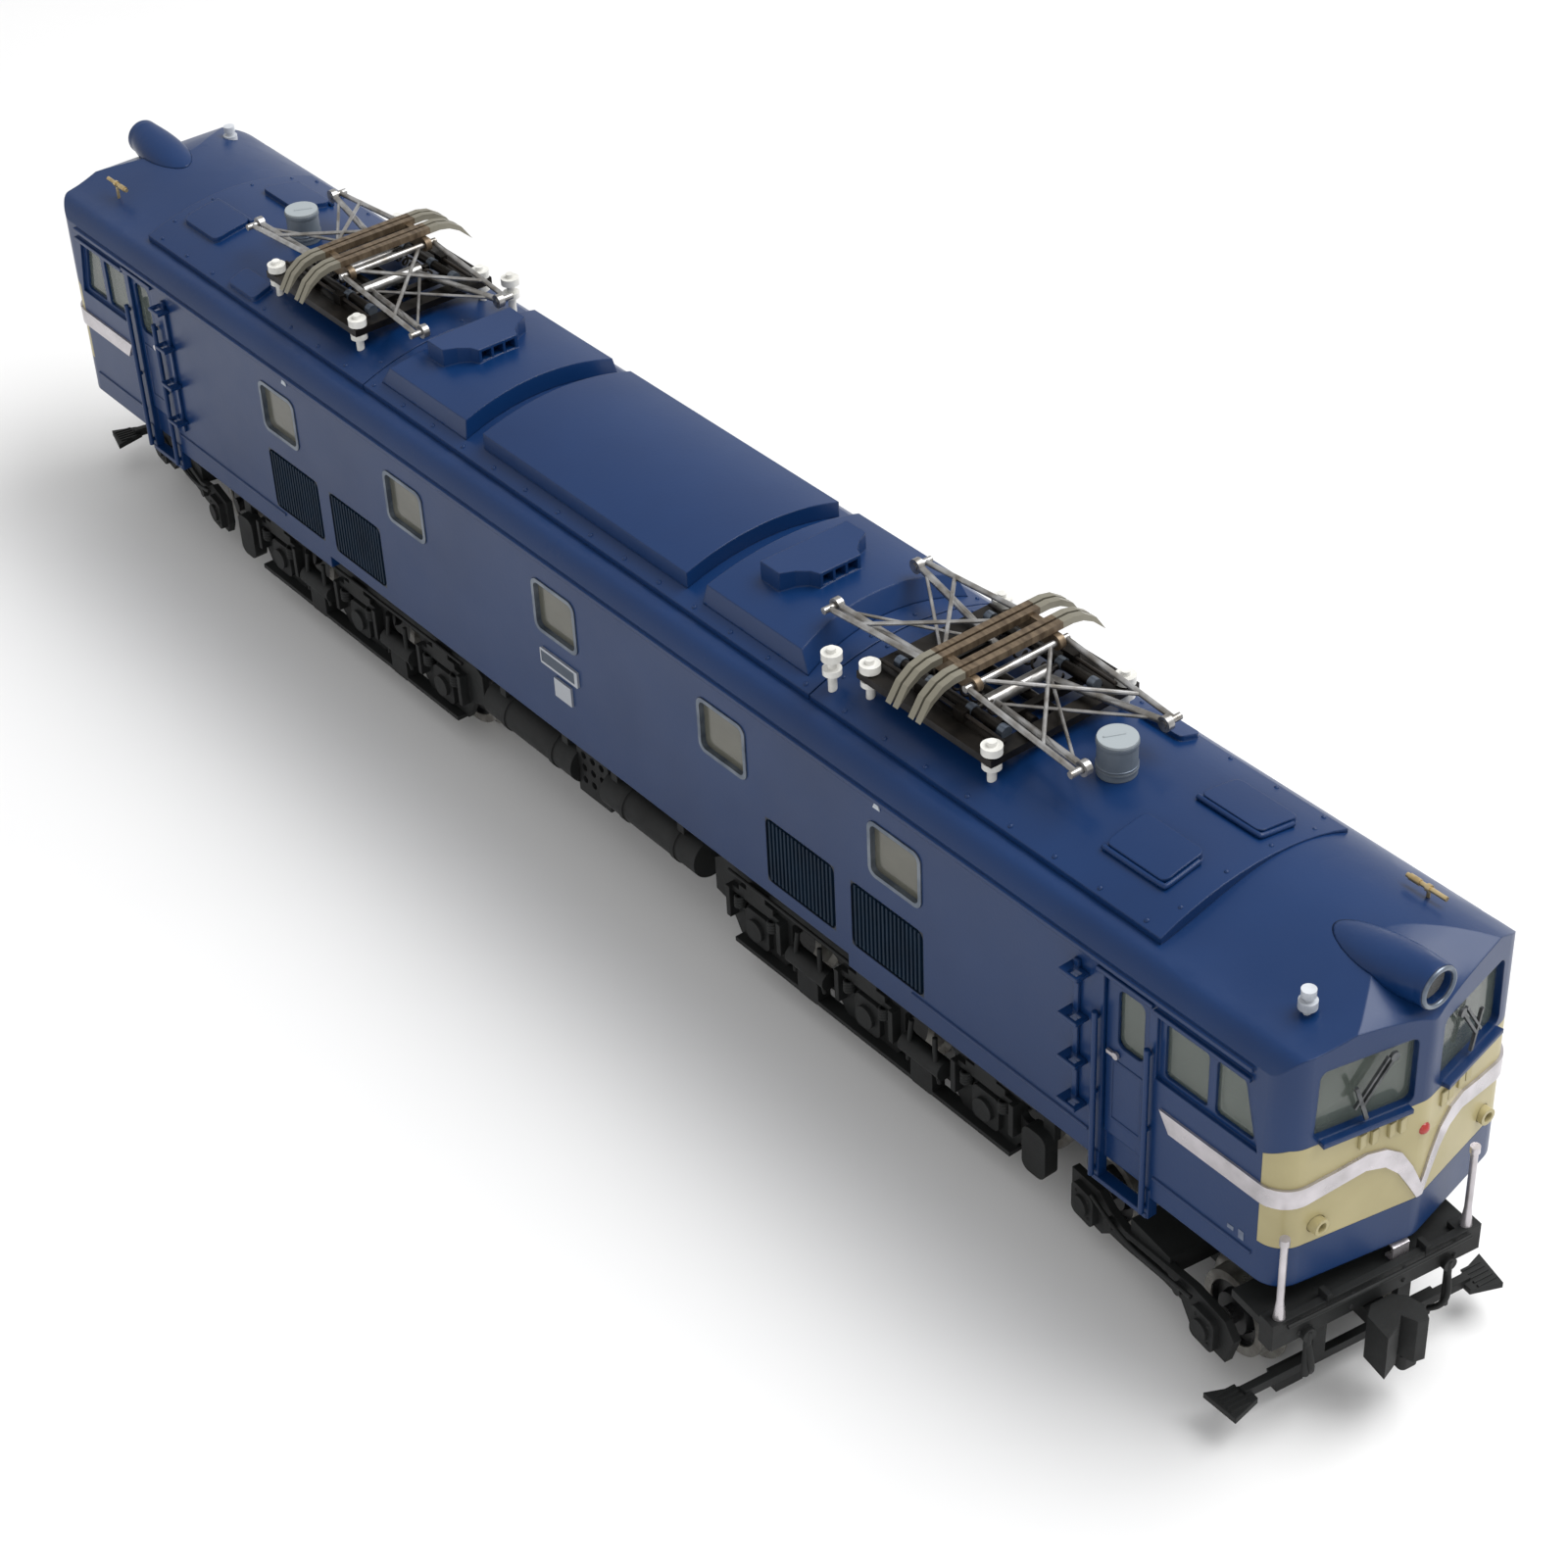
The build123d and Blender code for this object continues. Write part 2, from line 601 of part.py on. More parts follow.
with BuildPart() as roof_monitors:
    for middle in (-32.2, 32.2):
        inward = -1.4 if middle > 0 else 1.4
        with BuildSketch(Plane.XY.offset(46.0)):
            with Locations((middle, 0)):
                Rectangle(19.0, 22.6)
        with BuildSketch(Plane.XY.offset(51.6)):
            with Locations((middle + inward, 0)):
                Rectangle(14.6, 20.4)
        loft()
    with BuildSketch(Plane.YZ):
        add(monitor_section)
    extrude(amount=60, both=True, mode=Mode.INTERSECT)
    # hoods with three square outlets that look forward between swept flanks
    for middle in (-32.2, 32.2):
        with BuildSketch(shifted(Plane.XY, middle).offset(49.6)):
            outline(HOOD_OUTLINE)
        extrude(amount=3.3)
        with BuildSketch(Plane.YZ.offset(middle + 1.6)):
            with Locations((-2.3, 51.9), (-0.6, 51.9), (1.1, 51.9)):
                Rectangle(1.35, 1.2)
        extrude(amount=-1.6, mode=Mode.SUBTRACT)
    with BuildSketch(Plane.YZ):
        add(deck_section)
    extrude(amount=60, both=True, mode=Mode.SUBTRACT)
save(roof_monitors, "roof_monitors")

with BuildPart() as roof_cylinders:
    for base in ENDS:
        with BuildSketch(level(base, 48.5)):
            with Locations((76.0, 0)):
                Circle(2.1)
        extrude(amount=4.7)
        with BuildSketch(level(base, 52.5)):
            with Locations((76.0, 0)):
                Circle(2.2)
        extrude(amount=0.4)
        with BuildSketch(level(base, 49.6)):
            with Locations((76.0, 0)):
                Circle(2.2)
        extrude(amount=0.25)
    with BuildSketch(Plane.YZ):
        add(deck_section)
    extrude(amount=110, both=True, mode=Mode.SUBTRACT)
save(roof_cylinders, "roof_cylinders")

with BuildPart() as insulators:
    for base in ENDS:
        spots = [(PANTO_X + a * INSULATOR_X, b * INSULATOR_Y) for a in (-1, 1) for b in (-1, 1)]
        spots.append((PANTO_X - 13.6, -10.7))
        for low, high, radius in ((46.0, 52.4, 0.5), (49.2, 49.9, 1.05), (51.0, 51.9, 1.15)):
            with BuildSketch(level(base, low)):
                with Locations(*spots):
                    Circle(radius)
            extrude(amount=high - low)
    with BuildSketch(Plane.YZ):
        add(deck_section)
    extrude(amount=110, both=True, mode=Mode.SUBTRACT)
save(insulators, "insulators")

# ---- inside the body ----
with BuildPart() as chassis_frame:
    with BuildSketch(Plane.XY.offset(17.3)):
        Rectangle(196, 2 * (HALF_WIDTH - WALL) - 0.2)
    extrude(amount=2.3)
    for base in ENDS:
        with BuildSketch(level(base, 15.2)):
            with Locations((BOGIE_PIVOT_X, 0)):
                Circle(2.0)
        extrude(amount=2.2)
    # brackets of the air tanks and the pierced plate between them
    for side in (-1, 1):
        with BuildSketch(Plane.XY.offset(13.6)):
            with Locations((-18, side * 11.2), (-5, side * 11.2), (5, side * 11.2), (18, side * 11.2)):
                Rectangle(1.2, 3.4)
        extrude(amount=4.0)
        with BuildSketch(Plane.XZ.offset(-side * 12.0)):
            with Locations((0, 12.6)):
                Rectangle(6.4, 10.0)
            with Locations((0, 11.6)):
                with GridLocations(1.8, 1.8, 3, 3):
                    Circle(0.5, mode=Mode.SUBTRACT)
        extrude(amount=0.5, both=True)
save(chassis_frame, "chassis_frame")

with BuildPart() as air_tanks:
    for side in (-1, 1):
        for middle in (-12.2, 12.2):
            with BuildSketch(Plane.YZ.offset(middle - 9.2)):
                with Locations((side * 11.2, 11.0)):
                    Circle(2.6)
            extrude(amount=18.4)
            with BuildSketch(Plane.YZ.offset(middle - 5.4)):
                with Locations((side * 11.2, 11.0)):
                    Circle(2.75)
            extrude(amount=0.8)
            with BuildSketch(Plane.YZ.offset(middle + 4.6)):
                with Locations((side * 11.2, 11.0)):
                    Circle(2.75)
            extrude(amount=0.8)
    chassis_clearance = chassis_frame.part
    add(chassis_clearance, mode=Mode.SUBTRACT)
save(air_tanks, "air_tanks")

with BuildPart() as motor:
    with BuildSketch(Plane.YZ.offset(-17)):
        with Locations((0, 29.5)):
            Circle(9.0)
            Rectangle(22, 12.5, mode=Mode.INTERSECT)
    extrude(amount=34)
    with BuildSketch(Plane.XY.offset(19.6)):
        Rectangle(30, 12)
    extrude(amount=5.0)
    with BuildSketch(Plane.YZ.offset(-20)):
        with Locations((0, 29.5)):
            Circle(3.0)
    extrude(amount=40)
    with BuildSketch(Plane.YZ.offset(-21)):
        with Locations((0, 29.5)):
            Circle(1.2)
    extrude(amount=42, mode=Mode.SUBTRACT)
save(motor, "motor")

with BuildPart() as drive_shaft:
    with BuildSketch(Plane.YZ.offset(-36)):
        with Locations((0, 29.5)):
            Circle(1.15)
    extrude(amount=72)
    for start in (-33.0, 22.0):
        with BuildSketch(Plane.YZ.offset(start)):
            with Locations((0, 29.5)):
                Circle(7.5)
        extrude(amount=11)
save(drive_shaft, "drive_shaft")

with BuildPart() as cab_interiors:
    for base in ENDS:
        with BuildSketch(level(base, 19.7)):
            with Locations((96.0, 0)):
                Rectangle(16.0, 27.0)
            with Locations((110.0, 0)):
                Rectangle(5.0, 22.0)
        extrude(amount=1.2)
        with BuildSketch(level(base, 20.8)):
            with Locations((89.0, 0)):
                Rectangle(1.2, 27.0)
        extrude(amount=22.0)
        with BuildSketch(level(base, 20.8)):
            with Locations((103.0, 0)):
                Rectangle(13.0, 12.0)
        extrude(amount=1.2)
        with BuildSketch(level(base, 21.9)):
            with Locations((109.4, 0)):
                Rectangle(5.4, 21.0)
        extrude(amount=11.0)
        for side in (-1, 1):
            with BuildSketch(level(base, 20.8)):
                with Locations((102.0, side * 5.5)):
                    Rectangle(4.0, 4.6)
            extrude(amount=7.0)
            with BuildSketch(level(base, 27.7)):
                with Locations((100.4, side * 5.5)):
                    Rectangle(0.9, 4.6)
            extrude(amount=5.5)
save(cab_interiors, "cab_interiors")


# ---- running gear ----
def wheel_section(tread, axle, gear):
    """Half section of a wheelset above its axis, drawn across and outward."""
    right = [(6.6, axle), (6.6, tread + 0.5), (6.85, tread + FLANGE), (7.15, tread + FLANGE),
             (7.4, tread), (WHEEL_OUTER_Y, tread - 0.15), (WHEEL_OUTER_Y, tread - 1.2),
             (8.4, tread - 1.4), (8.4, axle + 1.5), (9.3, axle + 1.3), (9.3, axle), (9.9, axle)]
    middle = [(-1.2, axle), (-1.2, gear), (1.2, gear), (1.2, axle)] if gear else []
    left = [(-across, out) for across, out in reversed(right)]
    return [(-9.9, 0)] + left + middle + right + [(9.9, 0)]


def rod_plane(start, end):
    """Plane square to a rod, at its start."""
    return Plane(origin=start, z_dir=end - start)


for name, base in HEADINGS.items():
    for number, along in enumerate(DRIVER_X):
        axle_z = RAIL_Z + DRIVER_R
        with BuildPart() as driver_axle:
            with BuildSketch(facing(level(base, axle_z), along)):
                outline(wheel_section(DRIVER_R, AXLE_R, 3.1))
            revolve(axis=Axis(base.from_local_coords((along, 0, axle_z)), base.y_dir))
        save(driver_axle, "driver_axle_" + name + "_" + str(number + 1))

    with BuildPart() as motor_bogie:
        with BuildSketch(level(base, 3.6)):
            with Locations((BOGIE_PIVOT_X, 0)):
                Rectangle(50.0, 8.8)
        extrude(amount=10.8)
        with BuildSketch(level(base, 14.4)):
            with Locations((BOGIE_PIVOT_X, 0)):
                Circle(4.0)
        extrude(amount=2.7)
        with BuildSketch(level(base, 15.0)):
            with Locations((BOGIE_PIVOT_X, 0)):
                Circle(2.05)
        extrude(amount=3, mode=Mode.SUBTRACT)
        # gear slots around each axle
        with BuildSketch(level(base, 4.5)):
            with Locations(*[(x, 0) for x in DRIVER_X]):
                Rectangle(7.6, 3.2)
        extrude(amount=7.0, mode=Mode.SUBTRACT)
        # stretchers and drawbar
        with BuildSketch(level(base, 12.8)):
            with Locations((41.75, 0), (61.25, 0)):
                Rectangle(2.4, 2 * FRAME_Y + 1)
            with Locations((80.4, 0)):
                Rectangle(1.2, 2 * FRAME_Y + 1)
            with Locations((78.0, 0)):
                Rectangle(6.0, 8.0)
        extrude(amount=1.6)
        with BuildSketch(level(base, 9.3)):
            with Locations((80.8, 0)):
                Rectangle(10.6, 4.4)
        extrude(amount=1.3)
        with BuildSketch(level(base, 7.0)):
            with Locations((LEAD_PIVOT_X, 0)):
                Circle(LEAD_AXLE_R)
        extrude(amount=2.6)
        for side in (-1, 1):
            middle_y = side * (FRAME_Y + FRAME_THICK / 2)
            with BuildSketch(beside(base, middle_y)):
                outline(BOGIE_OUTLINE)
                with Locations((41.75, 10.4), (61.25, 10.4)):
                    RectangleRounded(8.2, 3.6, 1.0, mode=Mode.SUBTRACT)
                with Locations((77.6, 11.0)):
                    RectangleRounded(3.4, 3.0, 0.8, mode=Mode.SUBTRACT)
            extrude(amount=FRAME_THICK / 2, both=True)
            outer_y = side * (FRAME_Y + FRAME_THICK)
            # axle boxes with their springs and hangers
            with BuildSketch(beside(base, outer_y)):
                for along in DRIVER_X:
                    with Locations((along, RAIL_Z + DRIVER_R)):
                        RectangleRounded(4.2, 4.6, 0.8)
                    with Locations((along, 11.4)):
                        Rectangle(9.4, 0.8)
                    with Locations((along, 12.2)):
                        Rectangle(6.2, 0.8)
                    with Locations((along, 13.0)):
                        Rectangle(3.4, 0.8)
            extrude(amount=0.7, both=True)
            with BuildSketch(beside(base, outer_y + side * 0.5)):
                for along in DRIVER_X:
                    with Locations((along, RAIL_Z + DRIVER_R)):
                        Circle(1.4)
                    with Locations((along - 4.6, 9.6), (along + 4.6, 9.6)):
                        Rectangle(0.7, 4.4)
            extrude(amount=0.75, both=True)
            # brake cylinders, rods and sandboxes
            with BuildSketch(beside(base, outer_y + side * 0.4)):
                with Locations((41.75, 6.0), (61.25, 6.0)):
                    RectangleRounded(3.6, 3.4, 0.5)
                with Locations((79.2, 7.6)):
                    RectangleRounded(3.6, 6.2, 1.2)
                with Locations((52.0, 4.7)):
                    Rectangle(47.0, 0.6)
            extrude(amount=0.9, both=True)
            with BuildSketch(facing(base, 38.4)):
                with Locations((side * (FRAME_Y + 1.5), 8.6)):
                    Circle(1.2)
            extrude(amount=6.6)
            with BuildSketch(facing(base, 57.9)):
                with Locations((side * (FRAME_Y + 1.5), 8.6)):
                    Circle(1.2)
            extrude(amount=6.6)
        with BuildSketch(beside(base, 0)):
            with Locations(*[(x, RAIL_Z + DRIVER_R) for x in DRIVER_X]):
                Circle(AXLE_R + RUNNING_GAP)
        extrude(amount=11.0, both=True, mode=Mode.SUBTRACT)
    save(motor_bogie, "motor_bogie_" + name)

    # ---- leading truck, which stands swung over on its pivot ----
    truck = shifted(turned(base, LEAD_PIVOT_X, LEAD_PIVOT_REST), -LEAD_PIVOT_X)
    lead_z = RAIL_Z + LEAD_R
    for number, along in enumerate(LEAD_X):
        with BuildPart() as leading_axle:
            with BuildSketch(facing(level(truck, lead_z), along)):
                outline(wheel_section(LEAD_R, LEAD_AXLE_R, 0))
            revolve(axis=Axis(truck.from_local_coords((along, 0, lead_z)), truck.y_dir))
        save(leading_axle, "leading_axle_" + name + "_" + str(number + 1))

    with BuildPart() as leading_truck:
        with BuildSketch(level(truck, 6.4)):
            with Locations((98.75, 0)):
                Rectangle(6.7, 2 * FRAME_Y + 1)
        extrude(amount=2.5)
        with BuildSketch(level(truck, 7.3)):
            with Locations((89.2, 0)):
                Rectangle(14.4, 4.4)
        extrude(amount=1.6)
        for side in (-1, 1):
            with BuildSketch(beside(truck, side * 4.95)):
                outline(INNER_PLATE)
            extrude(amount=0.55, both=True)
            with BuildSketch(beside(truck, side * (FRAME_Y + FRAME_THICK / 2))):
                outline(TRUCK_OUTLINE)
                outline_slot = ((95.6, 5.6), (95.6, 6.3), (102.4, 7.3), (102.4, 6.4))
                Polygon(*outline_slot, align=None, mode=Mode.SUBTRACT)
            extrude(amount=FRAME_THICK / 2, both=True)
            with BuildSketch(beside(truck, side * (FRAME_Y + FRAME_THICK))):
                with Locations(*[(x, lead_z) for x in LEAD_X]):
                    RectangleRounded(3.8, 4.2, 0.8)
                with Locations((93.0, 6.6), (104.6, 7.4)):
                    Circle(0.7)
            extrude(amount=0.8, both=True)
            with BuildSketch(beside(truck, side * (FRAME_Y + FRAME_THICK + 0.6))):
                with Locations(*[(x, lead_z) for x in LEAD_X]):
                    Circle(1.2)
            extrude(amount=0.6, both=True)
            # post sockets, step bar brackets, rail guards and hoses
            with BuildSketch(level(truck, 11.4)):
                with Locations((118.1, side * 11.4)):
                    Rectangle(1.8, 2.6)
            extrude(amount=3.5)
            with BuildSketch(level(truck, 4.0)):
                with Locations((117.0, side * 5.2)):
                    Rectangle(0.9, 1.6)
            extrude(amount=9.4)
            with BuildSketch(facing(truck, 115.8)):
                outline(mirrored(GUARD_OUTLINE, side))
            extrude(amount=1.0)
            with BuildSketch(level(truck, 3.9)):
                outline([(along, side * across) for along, across in STEP_PAD])
            extrude(amount=0.7)
            with BuildSketch(level(truck, 4.5)):
                with Locations((117.2, side * 15.3)):
                    with GridLocations(0.62, 1, 5, 1):
                        Rectangle(0.28, 2.4)
            extrude(amount=0.25)
            with BuildSketch(level(truck, 6.4)):
                with Locations((119.6, side * 8.6)):
                    Circle(0.4)
            extrude(amount=6.0)
            with BuildSketch(facing(truck, 118.9)):
                with Locations((side * 8.6, 12.0)):
                    Circle(0.8)
            extrude(amount=1.0)
        with BuildSketch(level(truck, 4.0)):
            with Locations((117.0, 0)):
                Rectangle(0.9, 28.0)
        extrude(amount=1.1)
        # coupler pocket roof with its pin, deck and buffer beam
        with BuildSketch(level(truck, 11.6)):
            with Locations((112.9, 0)):
                Rectangle(5.4, 11.0)
        extrude(amount=1.8)
        with BuildSketch(level(truck, 8.4)):
            with Locations((112.2, 0)):
                Circle(0.9)
        extrude(amount=3.4)
        with BuildSketch(level(truck, 13.2)):
            with Locations((115.6, 0)):
                Rectangle(6.0, 25.0)
        extrude(amount=1.0)
        with BuildSketch(level(truck, 11.6)):
            with Locations((118.8, 0)):
                Rectangle(0.9, 25.4)
        extrude(amount=3.3)
        with BuildSketch(level(truck, 14.2)):
            with Locations((118.6, -6.0), (118.6, 6.0)):
                Rectangle(1.4, 0.6)
        extrude(amount=1.4)
        with BuildSketch(level(truck, 6.0)):
            with Locations((LEAD_PIVOT_X, 0)):
                Circle(LEAD_AXLE_R + RUNNING_GAP)
        extrude(amount=4, mode=Mode.SUBTRACT)
        with BuildSketch(beside(truck, 0)):
            with Locations(*[(x, lead_z) for x in LEAD_X]):
                Circle(LEAD_AXLE_R + RUNNING_GAP)
        extrude(amount=10.6, both=True, mode=Mode.SUBTRACT)
    save(leading_truck, "leading_truck_" + name)

    with BuildPart() as deck_posts:
        for side in (-1, 1):
            with BuildSketch(level(truck, 14.9)):
                with Locations((118.45, side * 11.4)):
                    Circle(0.62)
            with BuildSketch(level(truck, 17.2)):
                with Locations((118.45, side * 11.4)):
                    Circle(0.38)
            loft()
            with BuildSketch(level(truck, 17.2)):
                with Locations((118.45, side * 11.4)):
                    Circle(0.38)
            extrude(amount=7.6)
            with BuildSketch(level(truck, 24.6)):
                with Locations((118.45, side * 11.4)):
                    Circle(0.52)
            extrude(amount=0.8)
    save(deck_posts, "deck_posts_" + name)

    with BuildPart() as coupler:
        with BuildSketch(level(truck, 9.0)):
            with Locations((115.6, 0)):
                Rectangle(9.2, 2.4)
        extrude(amount=1.8)
        with BuildSketch(level(truck, 6.6)):
            outline(KNUCKLE)
        extrude(amount=5.6)
        with BuildSketch(level(truck, 4.9)):
            with Locations((122.2, 1.4)):
                RectangleRounded(2.4, 2.2, 0.6)
        extrude(amount=1.8)
        with BuildSketch(level(truck, 8.0)):
            with Locations((112.2, 0)):
                Circle(0.9 + RUNNING_GAP)
        extrude(amount=4, mode=Mode.SUBTRACT)
    save(coupler, "coupler_" + name)

    # ---- pantograph ----
    knuckle_x = PANTO_PIVOT + (PANTO_REACH ** 2 - ((PANTO_HIGH_Z - PANTO_LOW_Z) / 2) ** 2) ** 0.5
    knuckle_z = (PANTO_LOW_Z + PANTO_HIGH_Z) / 2
    with BuildPart() as panto_base:
        with BuildSketch(level(base, 50.0)):
            with Locations((PANTO_X, 0)):
                Rectangle(20.8, 20.1)
                Rectangle(16.6, 16.0, mode=Mode.SUBTRACT)
                with Locations((0, -7.5), (0, 7.5)):
                    Rectangle(20.0, 0.9)
                with Locations((-5.6, 0), (5.6, 0)):
                    Rectangle(0.9, 16.4)
                with GridLocations(2 * INSULATOR_X, 2 * INSULATOR_Y, 2, 2):
                    Circle(0.55, mode=Mode.SUBTRACT)
        extrude(amount=0.9)
        for along in (-PANTO_PIVOT, PANTO_PIVOT):
            with BuildSketch(facing(base, PANTO_X + along - 0.8)):
                with Locations((-7.5, 51.2), (7.5, 51.2)):
                    Rectangle(0.9, 1.9)
            extrude(amount=1.6)
            with BuildSketch(beside(base, 0)):
                with Locations((PANTO_X + along, PANTO_LOW_Z)):
                    Circle(0.4)
            extrude(amount=7.6, both=True)
        for across in (-1.4, 1.4):
            with BuildSketch(facing(base, PANTO_X - 7.2)):
                with Locations((across, 49.75)):
                    Circle(0.6)
            extrude(amount=14.4)
    save(panto_base, "panto_base_" + name)

    for half, lean in (("a", 1), ("b", -1)):
        pivot_x = PANTO_X + lean * PANTO_PIVOT
        elbow_x = PANTO_X + lean * knuckle_x
        with BuildPart() as lower_arm:
            with BuildSketch(beside(base, 0)):
                with Locations((pivot_x, PANTO_LOW_Z)):
                    Circle(0.8)
            extrude(amount=4.2, both=True)
            for side in (-1, 1):
                foot = base.from_local_coords((pivot_x + lean * 0.5, side * 3.4, PANTO_LOW_Z))
                tip = base.from_local_coords((elbow_x - lean * 0.6, side * 5.5, knuckle_z))
                with BuildSketch(rod_plane(foot, tip)):
                    Circle(0.42)
                extrude(amount=(tip - foot).length)
                with BuildSketch(beside(base, side * 5.5)):
                    with Locations((elbow_x, knuckle_z)):
                        Circle(0.85)
                extrude(amount=0.4, both=True)
            with BuildSketch(beside(base, 0)):
                with Locations((pivot_x, PANTO_LOW_Z), (elbow_x, knuckle_z)):
                    Circle(0.4 + RUNNING_GAP)
            extrude(amount=8, both=True, mode=Mode.SUBTRACT)
        save(lower_arm, "lower_arm_" + name + "_" + half)

        with BuildPart() as upper_arm:
            with BuildSketch(beside(base, 0)):
                with Locations((pivot_x, PANTO_HIGH_Z)):
                    Circle(0.4)
            extrude(amount=7.0, both=True)
            for side in (-1, 1):
                with BuildSketch(beside(base, side * 6.2)):
                    with Locations((elbow_x, knuckle_z)):
                        Circle(0.4)
                extrude(amount=1.2, both=True)
                tube_start = base.from_local_coords((elbow_x, side * 6.6, knuckle_z))
                tube_end = base.from_local_coords((pivot_x, side * 6.6, PANTO_HIGH_Z))
                cross_end = base.from_local_coords((pivot_x, side * -4.6, PANTO_HIGH_Z))
                with BuildSketch(rod_plane(tube_start, tube_end)):
                    Circle(0.33)
                extrude(amount=(tube_end - tube_start).length)
                cross_start = tube_start + (tube_end - tube_start) * 0.3
                with BuildSketch(rod_plane(cross_start, cross_end)):
                    Circle(0.24)
                extrude(amount=(cross_end - cross_start).length)
        save(upper_arm, "upper_arm_" + name + "_" + half)

    with BuildPart() as collector:
        for side in (-1, 1):
            with BuildSketch(beside(base, side * 5.6)):
                with Locations((PANTO_X, PANTO_HIGH_Z)):
                    SlotCenterToCenter(2 * PANTO_PIVOT, 1.7)
                with Locations((PANTO_X, PANTO_HIGH_Z + 0.8)):
                    Rectangle(4.0, 1.2)
                with Locations((PANTO_X - PANTO_PIVOT, PANTO_HIGH_Z),
                               (PANTO_X + PANTO_PIVOT, PANTO_HIGH_Z)):
                    Circle(0.4 + RUNNING_GAP, mode=Mode.SUBTRACT)
            extrude(amount=0.4, both=True)
        for along in (-2.3, -1.2, 1.2, 2.3):
            with BuildSketch(facing(base, PANTO_X + along - 0.4)):
                outline(STRIP_OUTLINE)
            extrude(amount=0.8)
    save(collector, "collector_" + name)
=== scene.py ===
import bpy
import bmesh
import json
import math
from mathutils import Vector, Matrix


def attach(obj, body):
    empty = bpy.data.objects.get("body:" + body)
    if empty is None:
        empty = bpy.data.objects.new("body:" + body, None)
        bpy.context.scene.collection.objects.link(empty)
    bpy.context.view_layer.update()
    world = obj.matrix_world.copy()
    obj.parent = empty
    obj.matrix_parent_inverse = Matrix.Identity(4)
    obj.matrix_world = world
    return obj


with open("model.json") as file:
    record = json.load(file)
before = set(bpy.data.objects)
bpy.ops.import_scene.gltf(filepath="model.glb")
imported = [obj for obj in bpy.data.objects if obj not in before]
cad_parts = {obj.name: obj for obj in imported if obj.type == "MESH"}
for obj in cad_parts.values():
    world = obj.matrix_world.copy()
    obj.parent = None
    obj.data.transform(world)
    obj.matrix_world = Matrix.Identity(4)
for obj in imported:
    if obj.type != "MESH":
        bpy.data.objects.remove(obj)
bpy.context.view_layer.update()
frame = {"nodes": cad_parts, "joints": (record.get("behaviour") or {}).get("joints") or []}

MM = 0.001
NODES = frame["nodes"]
ENDS = ("front", "rear")
scene = bpy.context.scene

# places on the front half, in millimetres: x along, y across, z up. The rear repeats them half round.
ROOF_CREST, ROOF_EDGE, ROOF_HALF = 48.4, 45.7, 13.2
DECK_THICK = 0.55
DECK_END = 92.8
SIDE_FACE = 15.7
LOUVRE_MIDDLES, LOUVRE_HEIGHT = (44.15, 58.6), 24.9
LOUVRE_HALF_LONG, LOUVRE_HALF_HIGH = 5.86, 4.41
PLATE_HEIGHT = 28.9
HATCHES = ((87.3, -5.6), (88.6, 5.8))
CYLINDER_X, CYLINDER_TOP = 76.0, 53.2
NOSE_TIP, NOSE_SLOPE = 118.6, 0.2102
HEADLIGHT_Z, HEADLIGHT_MOUTH = 48.3, 118.35
TAIL_LAMP_Y, TAIL_LAMP_Z = 11.5, 24.1
PANTO_X, PANTO_PIVOT_Z, PANTO_PIPE_Z = 58.2, 51.2, 51.35
DRIVER_TREAD, LEADING_TREAD = 7.0, 4.85
AXLES, AXLE_GAPS = (32.0, 51.5, 71.0), (41.75, 61.25)
BOGIE_FACE = 12.95
TRUCK_PIVOT, TRUCK_SWING = 84.0, math.radians(-8.0)
BEAM_FACE = 119.24


# ---------------------------------------------------------------- materials
def linear(red, green, blue):
    """Linear colour from 8 bit screen values."""
    def one(value):
        value /= 255
        return value / 12.92 if value <= 0.04045 else ((value + 0.055) / 1.055) ** 2.4
    return (one(red), one(green), one(blue), 1)


